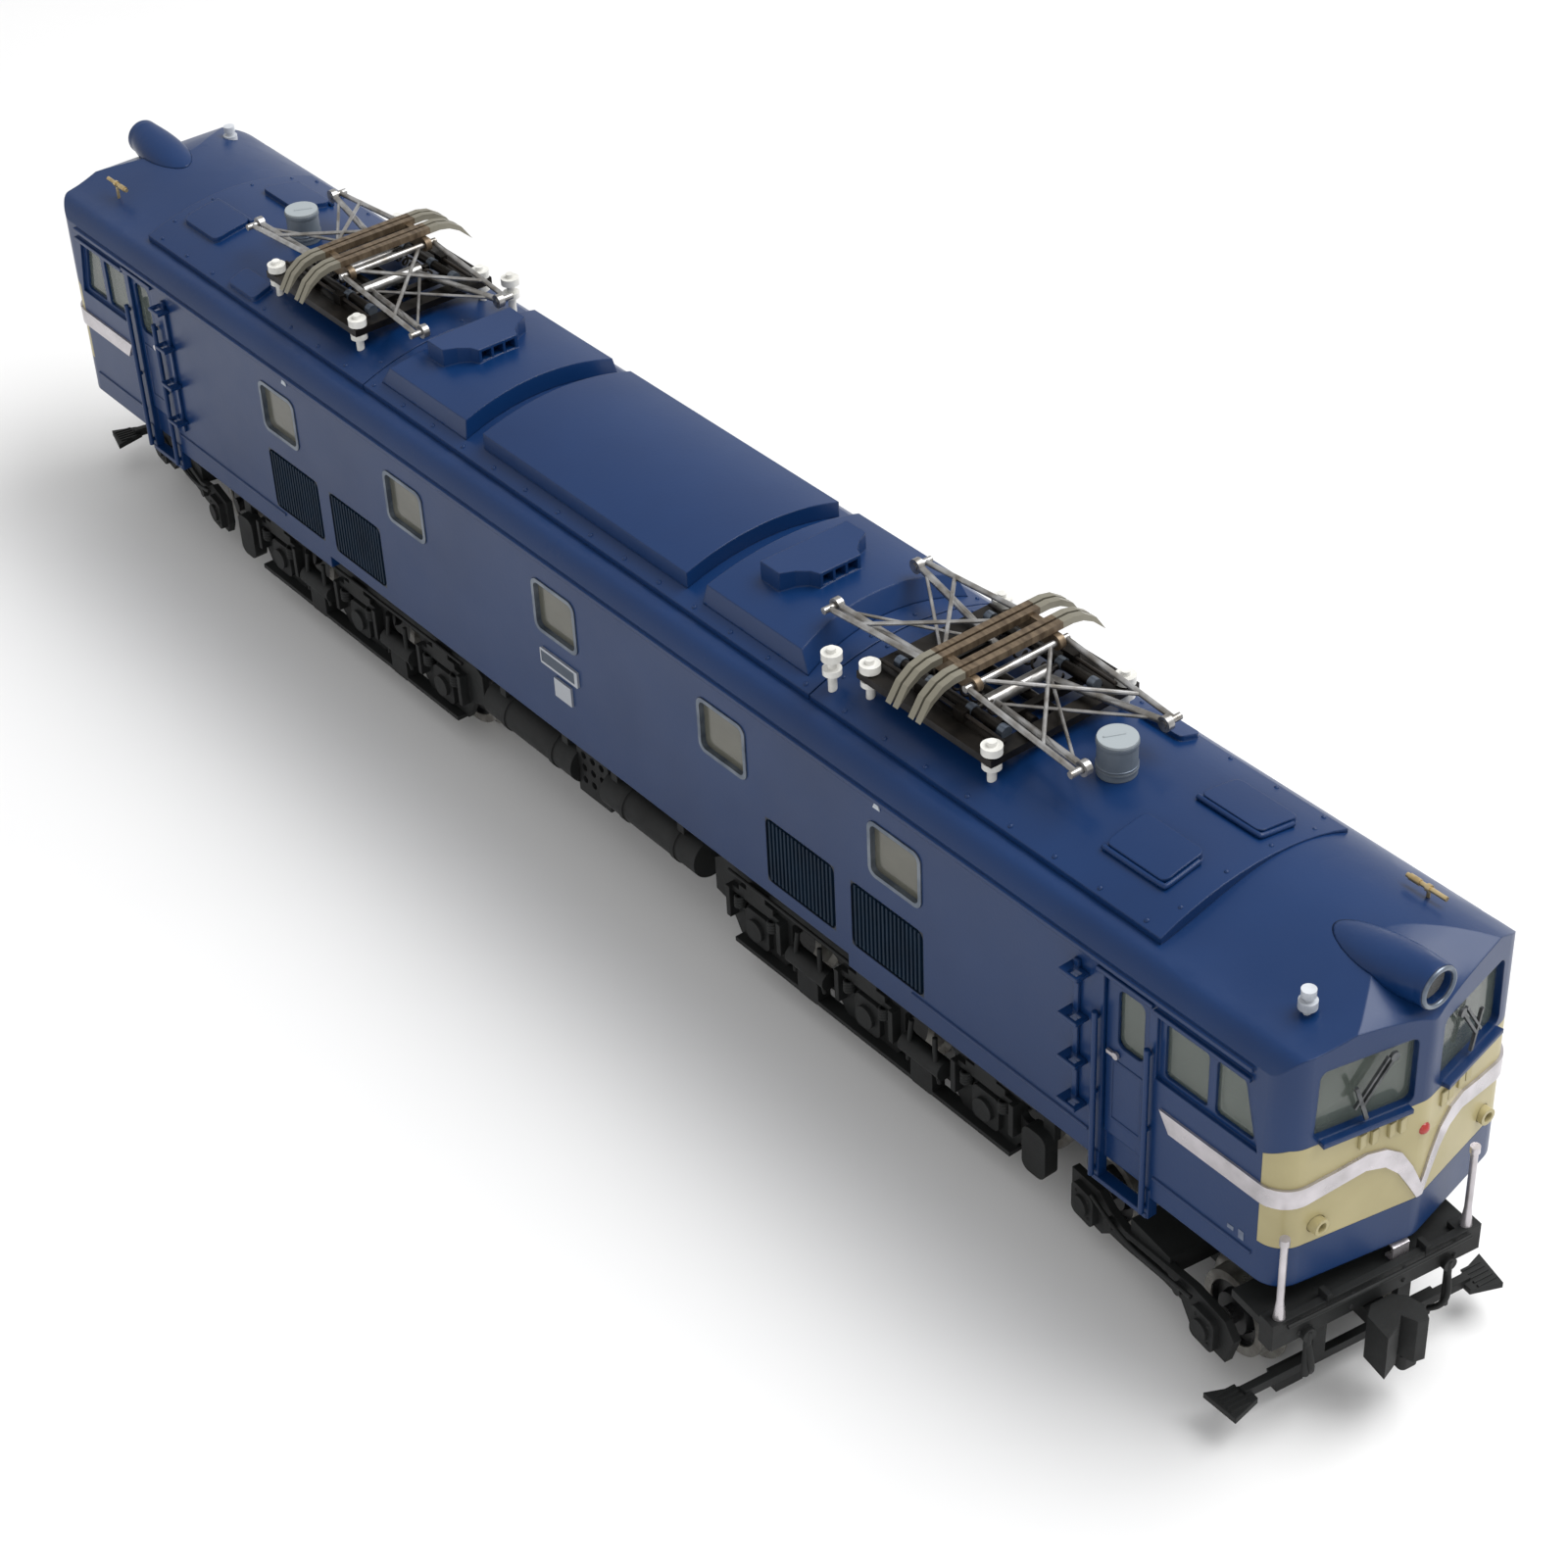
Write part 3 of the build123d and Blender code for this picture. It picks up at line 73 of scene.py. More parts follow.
class Finish:
    """A Principled material with helpers that add procedural detail."""

    def __init__(self, name, base, rough=0.4, metal=0.0, coat=0.0, bevel=0.0, shine=0.5):
        self.material = bpy.data.materials.new(name)
        self.material.use_nodes = True
        self.tree = self.material.node_tree
        self.shader = self.tree.nodes["Principled BSDF"]
        self.shader.inputs["Base Color"].default_value = base
        self.shader.inputs["Roughness"].default_value = rough
        self.shader.inputs["Metallic"].default_value = metal
        self.shader.inputs["Coat Weight"].default_value = coat
        self.shader.inputs["Specular IOR Level"].default_value = shine
        self.shader.inputs["Coat Roughness"].default_value = 0.12
        self.coords = self.tree.nodes.new("ShaderNodeTexCoord").outputs["Object"]
        self.base = base
        self.rough = rough
        self.normal = None
        if bevel:
            edge = self.tree.nodes.new("ShaderNodeBevel")
            edge.samples = 4
            edge.inputs["Radius"].default_value = bevel * MM
            self.normal = edge.outputs["Normal"]
            self.tree.links.new(self.normal, self.shader.inputs["Normal"])

    def noise(self, scale, detail=4.0, stretch=(1, 1, 1)):
        """Soft noise in object space, optionally stretched."""
        mapping = self.tree.nodes.new("ShaderNodeMapping")
        mapping.inputs["Scale"].default_value = stretch
        self.tree.links.new(self.coords, mapping.inputs["Vector"])
        texture = self.tree.nodes.new("ShaderNodeTexNoise")
        texture.inputs["Scale"].default_value = scale
        texture.inputs["Detail"].default_value = detail
        self.tree.links.new(mapping.outputs["Vector"], texture.inputs["Vector"])
        return texture.outputs["Fac"]

    def ramp(self, value, low, high, first, second):
        """Blend from one colour to another between two values."""
        mix = self.tree.nodes.new("ShaderNodeValToRGB")
        mix.color_ramp.elements[0].position = low
        mix.color_ramp.elements[0].color = first
        mix.color_ramp.elements[1].position = high
        mix.color_ramp.elements[1].color = second
        self.tree.links.new(value, mix.inputs["Fac"])
        return mix.outputs["Color"]

    def tint(self, scale, other, low=0.35, high=0.65, detail=4.0, stretch=(1, 1, 1)):
        """Base colour drifts to another colour in soft patches."""
        patches = self.ramp(self.noise(scale, detail, stretch), low, high, self.base, other)
        self.tree.links.new(patches, self.shader.inputs["Base Color"])
        return self

    def gloss(self, scale, spread, detail=5.0, stretch=(1, 1, 1)):
        """Roughness wanders about its value."""
        spot = self.tree.nodes.new("ShaderNodeMapRange")
        spot.inputs["To Min"].default_value = max(0.02, self.rough - spread)
        spot.inputs["To Max"].default_value = self.rough + spread
        self.tree.links.new(self.noise(scale, detail, stretch), spot.inputs["Value"])
        self.tree.links.new(spot.outputs["Result"], self.shader.inputs["Roughness"])
        return self

    def grain(self, scale, height, stretch=(1, 1, 1)):
        """Fine surface texture, height in millimetres."""
        bump = self.tree.nodes.new("ShaderNodeBump")
        bump.inputs["Distance"].default_value = height * MM
        bump.inputs["Strength"].default_value = 0.6
        self.tree.links.new(self.noise(scale, 3.0, stretch), bump.inputs["Height"])
        if self.normal:
            self.tree.links.new(self.normal, bump.inputs["Normal"])
        self.tree.links.new(bump.outputs["Normal"], self.shader.inputs["Normal"])
        return self

    def math(self, operation, first, second=None):
        """One sum on sockets or plain numbers."""
        step = self.tree.nodes.new("ShaderNodeMath")
        step.operation = operation
        for socket, value in zip(step.inputs, (first, second)):
            if value is None:
                continue
            if isinstance(value, (int, float)):
                socket.default_value = value
            else:
                self.tree.links.new(value, socket)
        return step.outputs[0]

    def axis(self, letter):
        """Object space coordinate, in metres."""
        split = self.tree.nodes.new("ShaderNodeSeparateXYZ")
        self.tree.links.new(self.coords, split.inputs[0])
        return split.outputs[letter]

    def colour_by(self, mask, other):
        """Mask 0 keeps the present base colour, 1 gives the other."""
        mix = self.tree.nodes.new("ShaderNodeMix")
        mix.data_type = "RGBA"
        socket = self.shader.inputs["Base Color"]
        if socket.links:
            self.tree.links.new(socket.links[0].from_socket, mix.inputs[6])
        else:
            mix.inputs[6].default_value = self.base
        mix.inputs[7].default_value = other
        self.tree.links.new(mask, mix.inputs[0])
        self.tree.links.new(mix.outputs[2], socket)
        return self


BLUE = linear(10, 46, 92)
BLUE_DEEP = linear(8, 41, 84)
CREAM = linear(174, 163, 120)
blue_paint = Finish("blue_paint", BLUE, rough=0.34, coat=0.05, bevel=0.25, shine=0.32)
blue_paint.tint(38, BLUE_DEEP).gloss(160, 0.07).grain(2600, 0.012)
cream_paint = Finish("cream_paint", CREAM, rough=0.42, coat=0.1, bevel=0.2)
cream_paint.tint(120, linear(164, 153, 110)).gloss(300, 0.06).grain(2400, 0.01)
navy_slats = Finish("navy_slats", linear(9, 34, 54), rough=0.6, shine=0.2)
navy_slats.tint(260, linear(7, 28, 46)).gloss(300, 0.08).grain(3000, 0.02)
trim_metal = Finish("trim_metal", linear(205, 200, 204), rough=0.3, metal=0.75)
trim_metal.tint(300, linear(178, 174, 176)).gloss(500, 0.1).grain(1800, 0.01, (1, 6, 6))
rim_metal = Finish("rim_metal", linear(120, 128, 138), rough=0.35, metal=0.7)
rim_metal.tint(420, linear(86, 96, 110)).gloss(600, 0.1).grain(2500, 0.01)
window_tan = Finish("window_tan", linear(94, 93, 81), rough=0.2, coat=0.2)
window_tan.tint(90, linear(81, 80, 70), stretch=(1, 1, 2)).gloss(140, 0.05).grain(300, 0.003)
under_black = Finish("under_black", linear(25, 27, 27), rough=0.62, bevel=0.15, shine=0.35)
under_black.tint(150, linear(15, 16, 16)).gloss(400, 0.12).grain(2200, 0.03)
plate_metal = Finish("plate_metal", linear(176, 180, 186), rough=0.38, metal=0.6)
plate_metal.gloss(700, 0.1).grain(2400, 0.02)
white_ceramic = Finish("white_ceramic", linear(228, 227, 222), rough=0.28, coat=0.3)
white_ceramic.tint(500, linear(205, 204, 198)).gloss(600, 0.08).grain(1500, 0.01)
grey_paint = Finish("grey_paint", linear(104, 113, 122), rough=0.42, bevel=0.15)
grey_paint.tint(300, linear(86, 95, 105)).gloss(500, 0.08).grain(2000, 0.015)
brass = Finish("brass_bright", linear(206, 186, 142), rough=0.32, metal=0.75)
brass.tint(700, linear(170, 148, 104)).gloss(900, 0.1).grain(2600, 0.01)
antenna_grey = Finish("antenna_grey", linear(196, 200, 206), rough=0.4, coat=0.2)
antenna_grey.tint(500, linear(168, 173, 180)).gloss(600, 0.08).grain(1500, 0.01)
wiper_steel = Finish("wiper_steel", linear(96, 98, 100), rough=0.45, metal=0.5)
wiper_steel.tint(600, linear(62, 64, 66)).gloss(700, 0.1).grain(2000, 0.01)
base_bronze = Finish("base_bronze", linear(44, 40, 36), rough=0.36, metal=0.7)
base_bronze.tint(420, linear(24, 22, 20)).gloss(600, 0.1).grain(2200, 0.01)
dark_bronze = Finish("dark_bronze", linear(52, 46, 40), rough=0.45, metal=0.55)
dark_bronze.tint(420, linear(30, 27, 25)).gloss(600, 0.12).grain(2200, 0.02)
strip_bronze = Finish("strip_bronze", linear(122, 106, 86), rough=0.42, metal=0.6)
strip_bronze.tint(500, linear(88, 74, 58), stretch=(1, 3, 1))
strip_bronze.gloss(800, 0.12).grain(1800, 0.02, (1, 8, 1))
horns = strip_bronze.math("GREATER_THAN", strip_bronze.math("ABSOLUTE", strip_bronze.axis("Y")), 6.6 * MM)
strip_bronze.colour_by(horns, linear(138, 134, 120))
arm_silver = Finish("arm_silver", linear(176, 176, 176), rough=0.32, metal=0.85)
arm_silver.tint(500, linear(128, 124, 118)).gloss(800, 0.12).grain(2600, 0.015)
cab_green = Finish("cab_green", linear(104, 112, 98), rough=0.6)
cab_green.tint(160, linear(86, 94, 82)).gloss(300, 0.08).grain(1600, 0.02)
motor_steel = Finish("motor_steel", linear(130, 130, 132), rough=0.4, metal=0.8)
motor_steel.tint(200, linear(96, 96, 98)).gloss(400, 0.1).grain(1500, 0.02)
# painted shade: near-black colour for the inside of the tail lamp apertures
hole_shade = Finish("hole_shade", linear(20, 18, 16), rough=0.7)
hole_shade.tint(400, linear(8, 8, 8)).grain(1500, 0.01)
red_paint = Finish("red_paint", linear(176, 44, 36), rough=0.35, coat=0.3)
red_paint.tint(600, linear(140, 30, 26)).grain(1500, 0.01)
white_mark = Finish("white_mark", linear(200, 204, 208), rough=0.5)
white_mark.tint(900, linear(170, 178, 188))
pale_mark = Finish("pale_mark", linear(112, 122, 140), rough=0.5)
pale_mark.tint(900, linear(84, 94, 116)).grain(2500, 0.01).grain(2500, 0.01)
floor_grey = Finish("floor_grey", linear(236, 236, 236), rough=0.75)
floor_grey.tint(6, linear(231, 231, 231)).grain(160, 0.02)

# painted shade: the recesses behind the louvre slats are coloured a darker navy than the slats, for the
# shade that falls in them
along = blue_paint.math("ABSOLUTE", blue_paint.axis("X"))
masks = []
for middle in LOUVRE_MIDDLES:
    offset = blue_paint.math("ABSOLUTE", blue_paint.math("SUBTRACT", along, middle * MM))
    masks.append(blue_paint.math("LESS_THAN", offset, LOUVRE_HALF_LONG * MM))
beside = blue_paint.math("ABSOLUTE", blue_paint.axis("Y"))
beside = blue_paint.math("GREATER_THAN", beside, (SIDE_FACE - 1.7) * MM)
height = blue_paint.math("SUBTRACT", blue_paint.axis("Z"), LOUVRE_HEIGHT * MM)
height = blue_paint.math("ABSOLUTE", height)
recess_shade = blue_paint.math("MULTIPLY", blue_paint.math("LESS_THAN", height, LOUVRE_HALF_HIGH * MM), beside)
recess_shade = blue_paint.math("MULTIPLY", recess_shade, blue_paint.math("ADD", masks[0], masks[1]))
blue_paint.colour_by(recess_shade, linear(5, 22, 38))

# painted highlight: the top face of the roof cylinders is coloured brighter than the drum, for the light
# falling from above
lid_highlight = grey_paint.math("GREATER_THAN", grey_paint.axis("Z"), (CYLINDER_TOP - 0.25) * MM)
grey_paint.colour_by(lid_highlight, linear(152, 160, 164))


def clear_glass(name, colour, clear, rough):
    """Tinted pane that lets part of the light straight through."""
    pane = Finish(name, colour, rough=rough, coat=0.5)
    pane.tint(70, tuple(0.8 * c for c in colour[:3]) + (1,)).gloss(120, 0.03).grain(240, 0.002)
    tree = pane.tree
    through = tree.nodes.new("ShaderNodeBsdfTransparent")
    mixed = tree.nodes.new("ShaderNodeMixShader")
    streaks = tree.nodes.new("ShaderNodeMapRange")
    streaks.inputs["To Min"].default_value = clear - 0.08
    streaks.inputs["To Max"].default_value = clear + 0.08
    tree.links.new(pane.noise(60), streaks.inputs["Value"])
    tree.links.new(streaks.outputs["Result"], mixed.inputs[0])
    tree.links.new(pane.shader.outputs[0], mixed.inputs[1])
    tree.links.new(through.outputs[0], mixed.inputs[2])
    tree.links.new(mixed.outputs[0], tree.nodes["Material Output"].inputs["Surface"])
    return pane


cab_glass = clear_glass("cab_glass", linear(104, 113, 106), 0.45, 0.08)
lamp_glass = clear_glass("lamp_glass", linear(150, 150, 146), 0.5, 0.05)


def wheel_finish(name, middle, axle, tread):
    """Bright tyre round a black wheel centre, by distance from the axle's line."""
    wheel = Finish(name, linear(168, 166, 160), rough=0.3, metal=0.85)
    wheel.tint(500, linear(120, 116, 110)).gloss(700, 0.1).grain(2200, 0.015)
    offset = wheel.tree.nodes.new("ShaderNodeVectorMath")
    offset.operation = "SUBTRACT"
    offset.inputs[1].default_value = middle
    wheel.tree.links.new(wheel.coords, offset.inputs[0])
    cross = wheel.tree.nodes.new("ShaderNodeVectorMath")
    cross.operation = "CROSS_PRODUCT"
    cross.inputs[1].default_value = axle
    wheel.tree.links.new(offset.outputs[0], cross.inputs[0])
    length = wheel.tree.nodes.new("ShaderNodeVectorMath")
    length.operation = "LENGTH"
    wheel.tree.links.new(cross.outputs[0], length.inputs[0])
    inside = wheel.math("LESS_THAN", length.outputs["Value"], tread - 1.25 * MM)
    wheel.colour_by(inside, linear(24, 25, 26))
    plain = wheel.math("SUBTRACT", 1.0, inside)
    wheel.tree.links.new(wheel.math("MULTIPLY", plain, 0.85), wheel.shader.inputs["Metallic"])
    return wheel


def paint(finish, *names):
    """Gives CAD nodes one finish in place of whatever they hold."""
    for name in names:
        mesh = NODES[name].data
        mesh.materials.clear()
        mesh.materials.append(finish.material)


paint(blue_paint, "body_shell", "cab_doors", "door_handrails", "ladders", "roof_deck",
      "centre_roof_panel", "roof_monitors", "headlight_housings")
paint(cream_paint, "nose_bands", "tail_lamps")
paint(navy_slats, "louvres")
paint(trim_metal, "trim_strips", "door_handles", "deck_posts_front", "deck_posts_rear")
paint(rim_metal, "side_window_rims")
paint(window_tan, "side_glazing")
paint(cab_glass, "cab_glazing")
paint(lamp_glass, "headlight_lenses")
paint(plate_metal, "blank_plates")
paint(under_black, "air_tanks", "chassis_frame")
paint(brass, "whistles", "drive_shaft")
paint(white_ceramic, "insulators")
paint(antenna_grey, "antennas")
paint(wiper_steel, "wipers")
paint(grey_paint, "roof_cylinders")
paint(motor_steel, "motor")
paint(cab_green, "cab_interiors")
for end in ENDS:
    paint(under_black, "motor_bogie_" + end, "leading_truck_" + end, "coupler_" + end)
    paint(base_bronze, "panto_base_" + end)
    paint(strip_bronze, "collector_" + end)
    for half in "ab":
        paint(arm_silver, "lower_arm_" + end + "_" + half, "upper_arm_" + end + "_" + half)
for joint in frame["joints"]:
    if "spin" in joint["name"]:
        driver = joint["name"].startswith("driver")
        node = joint["name"].replace("_spin", "_axle")
        tread = (DRIVER_TREAD if driver else LEADING_TREAD) * MM
        paint(wheel_finish(node + "_finish", joint["pos_m"], joint["axis"], tread), node)

# blank plates: dark field inside a bright raised border
field = plate_metal.math("ABSOLUTE", plate_metal.axis("Z"))
field = plate_metal.math("SUBTRACT", field, PLATE_HEIGHT * MM)
field = plate_metal.math("LESS_THAN", plate_metal.math("ABSOLUTE", field), 0.78 * MM)
across = plate_metal.math("LESS_THAN", plate_metal.math("ABSOLUTE", plate_metal.axis("X")), 3.3 * MM)
plate_metal.colour_by(plate_metal.math("MULTIPLY", field, across), linear(70, 80, 94))


def piece(name, data, finish, body):
    """Object that rides a body of the frame and takes that finish's slot."""
    item = bpy.data.objects.new(name, data)
    scene.collection.objects.link(item)
    data.materials.append(finish.material)
    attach(item, body)
    return item


def from_bmesh(name, work, finish, body, smooth=True):
    """Piece from finished mesh work."""
    mesh = bpy.data.meshes.new(name)
    for face in work.faces:
        face.smooth = smooth
    work.to_mesh(mesh)
    work.free()
    return piece(name, mesh, finish, body)


def add_dome(work, centre, radius, height, normal):
    """Low rounded rivet head with its foot on a surface."""
    turn = Vector((0, 0, 1)).rotation_difference(Vector(normal)).to_matrix()
    rings = []
    steps, count = 4, 10
    for step in range(steps):
        angle = step / steps * math.pi / 2
        ring = []
        for spoke in range(count):
            around = spoke / count * 2 * math.pi
            spot = Vector((radius * math.cos(angle) * math.cos(around),
                           radius * math.cos(angle) * math.sin(around), height * math.sin(angle)))
            ring.append(work.verts.new(Vector(centre) + turn @ spot))
        rings.append(ring)
    top = work.verts.new(Vector(centre) + turn @ Vector((0, 0, height)))
    for low, high in zip(rings, rings[1:]):
        for spoke in range(count):
            following = (spoke + 1) % count
            work.faces.new((low[spoke], low[following], high[following], high[spoke]))
    for spoke in range(count):
        work.faces.new((rings[-1][spoke], rings[-1][(spoke + 1) % count], top))


def add_prism(work, outline, start, depth):
    """Solid from a closed outline of 3-D points pushed along a vector."""
    low = [work.verts.new(Vector(point) + Vector(start)) for point in outline]
    high = [work.verts.new(Vector(point) + Vector(start) + Vector(depth)) for point in outline]
    work.faces.new(list(reversed(low)))
    work.faces.new(high)
    for index in range(len(outline)):
        following = (index + 1) % len(outline)
        work.faces.new((low[index], low[following], high[following], high[index]))


def tube(name, paths, radius, finish, body, close=False):
    """Round wire or pipe through each list of points, in millimetres."""
    curve = bpy.data.curves.new(name, "CURVE")
    curve.dimensions = "3D"
    curve.bevel_depth = radius * MM
    curve.bevel_resolution = 3
    curve.use_fill_caps = True
    for path in paths:
        spline = curve.splines.new("NURBS")
        spline.points.add(len(path) - 1)
        for point, spot in zip(spline.points, path):
            point.co = (spot[0] * MM, spot[1] * MM, spot[2] * MM, 1)
        spline.use_endpoint_u = True
        spline.order_u = 3
        spline.use_cyclic_u = close
    return piece(name, curve, finish, body)


def roof_height(across, lift=DECK_THICK):
    """Height of the roof deck at a distance from the centre line, in millimetres."""
    return ROOF_CREST - (ROOF_CREST - ROOF_EDGE) * (across / ROOF_HALF) ** 2 + lift


def circle(centre, radius, facing, count=24):
    """Points round a circle that faces up ("z") or along the track ("x"), in millimetres."""
    points = []
    for index in range(count):
        angle = index / count * 2 * math.pi
        first, second = radius * math.cos(angle), radius * math.sin(angle)
        offset = (first, second, 0) if facing == "z" else (0, first, second)
        points.append(tuple(middle + shift for middle, shift in zip(centre, offset)))
    return points


# rivet heads along the roof deck's edges and across its seams
rivets = bmesh.new()
for side in (-1, 1):
    for index in range(30):
        along = -DECK_END + index * 6.4
        add_dome(rivets, (along * MM, side * 11.9 * MM, roof_height(11.9) * MM), 0.28 * MM, 0.2 * MM,
                 (0, side * 0.38, 1))
for seam in (-44.3, -41.7, 41.7, 44.3, -94.3, 94.3):
    for across_mm in (-9.0, -3.0, 3.0, 9.0):
        add_dome(rivets, (seam * MM, across_mm * MM, roof_height(across_mm) * MM), 0.26 * MM,
                 0.18 * MM, (0, across_mm * 0.03, 1))
from_bmesh("roof_rivets", rivets, blue_paint, "locomotive")

# a bent rod along two edges of each roof hatch
for direction in (1, -1):
    end = "front" if direction > 0 else "rear"
    rails = []
    for along, side in HATCHES:
        corners = ((along - 4.2, side - 2.9), (along + 4.1, side - 2.9), (along + 4.35, side - 2.7),
                   (along + 4.35, side + 1.6))
        rails.append([(direction * x, direction * y, roof_height(y, 0.85)) for x, y in corners])
    tube("hatch_rods_" + end, rails, 0.3, blue_paint, "locomotive")

# small white marks on the eaves and the roof
marks = bmesh.new()
for side in (-1, 1):
    for along in (-57.5, 57.5):
        spot = (along * MM, side * (SIDE_FACE + 0.01) * MM, 42.1 * MM)
        width, height = 0.55 * MM, 1.3 * MM
        add_prism(marks, ((-width, 0, -height / 2), (width, 0, -height / 2), (0, 0, height / 2)), spot,
                  (0, side * 0.12 * MM, 0))
add_dome(marks, (85.5 * MM, -3.2 * MM, roof_height(3.2) * MM), 0.35 * MM, 0.15 * MM, (0, 0, 1))
add_dome(marks, (-85.5 * MM, 3.2 * MM, roof_height(3.2) * MM), 0.35 * MM, 0.15 * MM, (0, 0, 1))
from_bmesh("small_white_marks", marks, white_mark, "locomotive", smooth=False)

# blank tablets beside the cab fronts
tablets = bmesh.new()
for side in (-1, 1):
    for along, width, height in ((109.3, 0.8, 0.5), (110.7, 0.7, 1.1)):
        spot = (-side * along * MM, side * SIDE_FACE * MM, 21.2 * MM)
        half, rise = width / 2 * MM, height / 2 * MM
        add_prism(tablets, ((-half, 0, -rise), (half, 0, -rise), (half, 0, rise), (-half, 0, rise)),
                  spot, (0, side * 0.05 * MM, 0))
from_bmesh("side_tablets", tablets, pale_mark, "locomotive", smooth=False)

# seam ring and lid handle of the roof cylinders
for direction in (1, -1):
    end = "front" if direction > 0 else "rear"
    seam_ring = circle((direction * CYLINDER_X, 0, 50.1), 2.12, "z")
    tube("cylinder_ring_" + end, [seam_ring], 0.1, rim_metal, "locomotive", close=True)
    handle = [(direction * (CYLINDER_X - 0.8), -direction * 1.2, CYLINDER_TOP),
              (direction * (CYLINDER_X - 0.2), 0.0, CYLINDER_TOP + 0.02),
              (direction * (CYLINDER_X + 0.2), direction * 0.9, CYLINDER_TOP)]
    tube("cylinder_handle_" + end, [handle], 0.12, grey_paint, "locomotive")


def nose_point(direction, across_mm, height_mm, out_mm):
    """Point on the V-shaped front, pushed out from it."""
    along = NOSE_TIP - abs(across_mm) * NOSE_SLOPE + out_mm
    return Vector((direction * along, direction * across_mm, height_mm)) * MM


for direction in (1, -1):
    end = "front" if direction > 0 else "rear"
    # plain raised lugs where the nose carries its lettering, and the red badge
    lugs = bmesh.new()
    for across_mm in (-7.2, -5.9, -4.0, -2.8, 2.8, 4.0, 5.9, 7.2):
        corner = nose_point(direction, across_mm, 32.0, -0.05)
        add_prism(lugs, ((0, -0.4 * MM, 0), (0, 0.4 * MM, 0), (0, 0.4 * MM, 1.7 * MM),
                         (0, -0.4 * MM, 1.7 * MM)), corner, (direction * 0.35 * MM, 0, 0))
    from_bmesh("nose_lugs_" + end, lugs, cream_paint, "locomotive", smooth=False)
    badge = bmesh.new()
    add_dome(badge, nose_point(direction, 0, 30.9, -0.35), 0.75 * MM, 0.7 * MM, (direction, 0, 0))
    from_bmesh("nose_badge_" + end, badge, red_paint, "locomotive")
    # headlight rim and bulb; painted shade: flat dark discs in the tail lamp apertures
    ring = circle((direction * HEADLIGHT_MOUTH, 0, HEADLIGHT_Z), 2.05, "x")
    tube("headlight_ring_" + end, [ring], 0.28, rim_metal, "locomotive", close=True)
    bulb = bmesh.new()
    add_dome(bulb, (direction * 116.45 * MM, 0, HEADLIGHT_Z * MM), 1.1 * MM, 0.6 * MM, (direction, 0, 0))
    from_bmesh("headlight_bulb_" + end, bulb, trim_metal, "locomotive")
    holes = bmesh.new()
    for across_mm in (-TAIL_LAMP_Y, TAIL_LAMP_Y):
        spot = (direction * 115.62 * MM, across_mm * MM, TAIL_LAMP_Z * MM)
        add_dome(holes, spot, 0.5 * MM, 0.08 * MM, (direction, 0, 0))
    from_bmesh("tail_lamp_hole_shades_" + end, holes, hole_shade, "locomotive")
    # coil springs, links, braces and pipes of the pantograph
    coils = []
    middle = PANTO_X * direction
    for across_mm in (-4.2, 4.2):
        coils.append([(middle + direction * (-5.0 + t * 0.2), across_mm + 0.62 * math.cos(t * 0.9),
                       PANTO_PIVOT_Z + 0.62 * math.sin(t * 0.9)) for t in range(51)])
    tube("panto_springs_" + end, coils, 0.15, dark_bronze, "locomotive")
    links = []
    for across_mm in (-7.5, 7.5):
        links.append([(middle - 9.6, across_mm, 51.5), (middle, across_mm * 0.98, 51.9),
                      (middle + 9.6, across_mm, 51.5)])
    tube("panto_links_" + end, links, 0.22, dark_bronze, "locomotive")
    pipes, collars = [], []
    for across_mm in (-6.1, 6.1):
        pipes.append([(middle - 7.4, across_mm, PANTO_PIPE_Z), (middle, across_mm, PANTO_PIPE_Z),
                      (middle + 7.4, across_mm, PANTO_PIPE_Z)])
        for reach in (-7.9, -3.1, 3.1, 7.9):
            collars.append([(middle + reach + shift, across_mm, PANTO_PIPE_Z)
                            for shift in (-0.45, 0, 0.45)])
    for half, lean in (("a", 1), ("b", -1)):
        braces = []
        for side in (-1, 1):
            foot = (direction * (PANTO_X + lean * 4.4), direction * side * -3.4, 51.45)
            tip = (direction * (PANTO_X + lean * 17.4), direction * side * 5.4, 52.55)
            centre = [(a + b) / 2 for a, b in zip(foot, tip)]
            braces.append([foot, centre, tip])
        arm = end + "_" + half
        tube("lower_braces_" + arm, braces, 0.2, arm_silver, "panto_lower_" + arm)
    tube("panto_pipes_" + end, pipes, 0.6, base_bronze, "locomotive")
    tube("panto_collars_" + end, collars, 0.72, rim_metal, "locomotive")


# ---- running gear details, drawn for an end and carried by its body ----
def on_truck(direction, along, across_mm, height_mm):
    """Point in the leading truck's own run of the track, in millimetres."""
    reach = along - TRUCK_PIVOT
    turned_x = TRUCK_PIVOT + reach * math.cos(TRUCK_SWING) - across_mm * math.sin(TRUCK_SWING)
    turned_y = reach * math.sin(TRUCK_SWING) + across_mm * math.cos(TRUCK_SWING)
    return (direction * turned_x, direction * turned_y, height_mm)


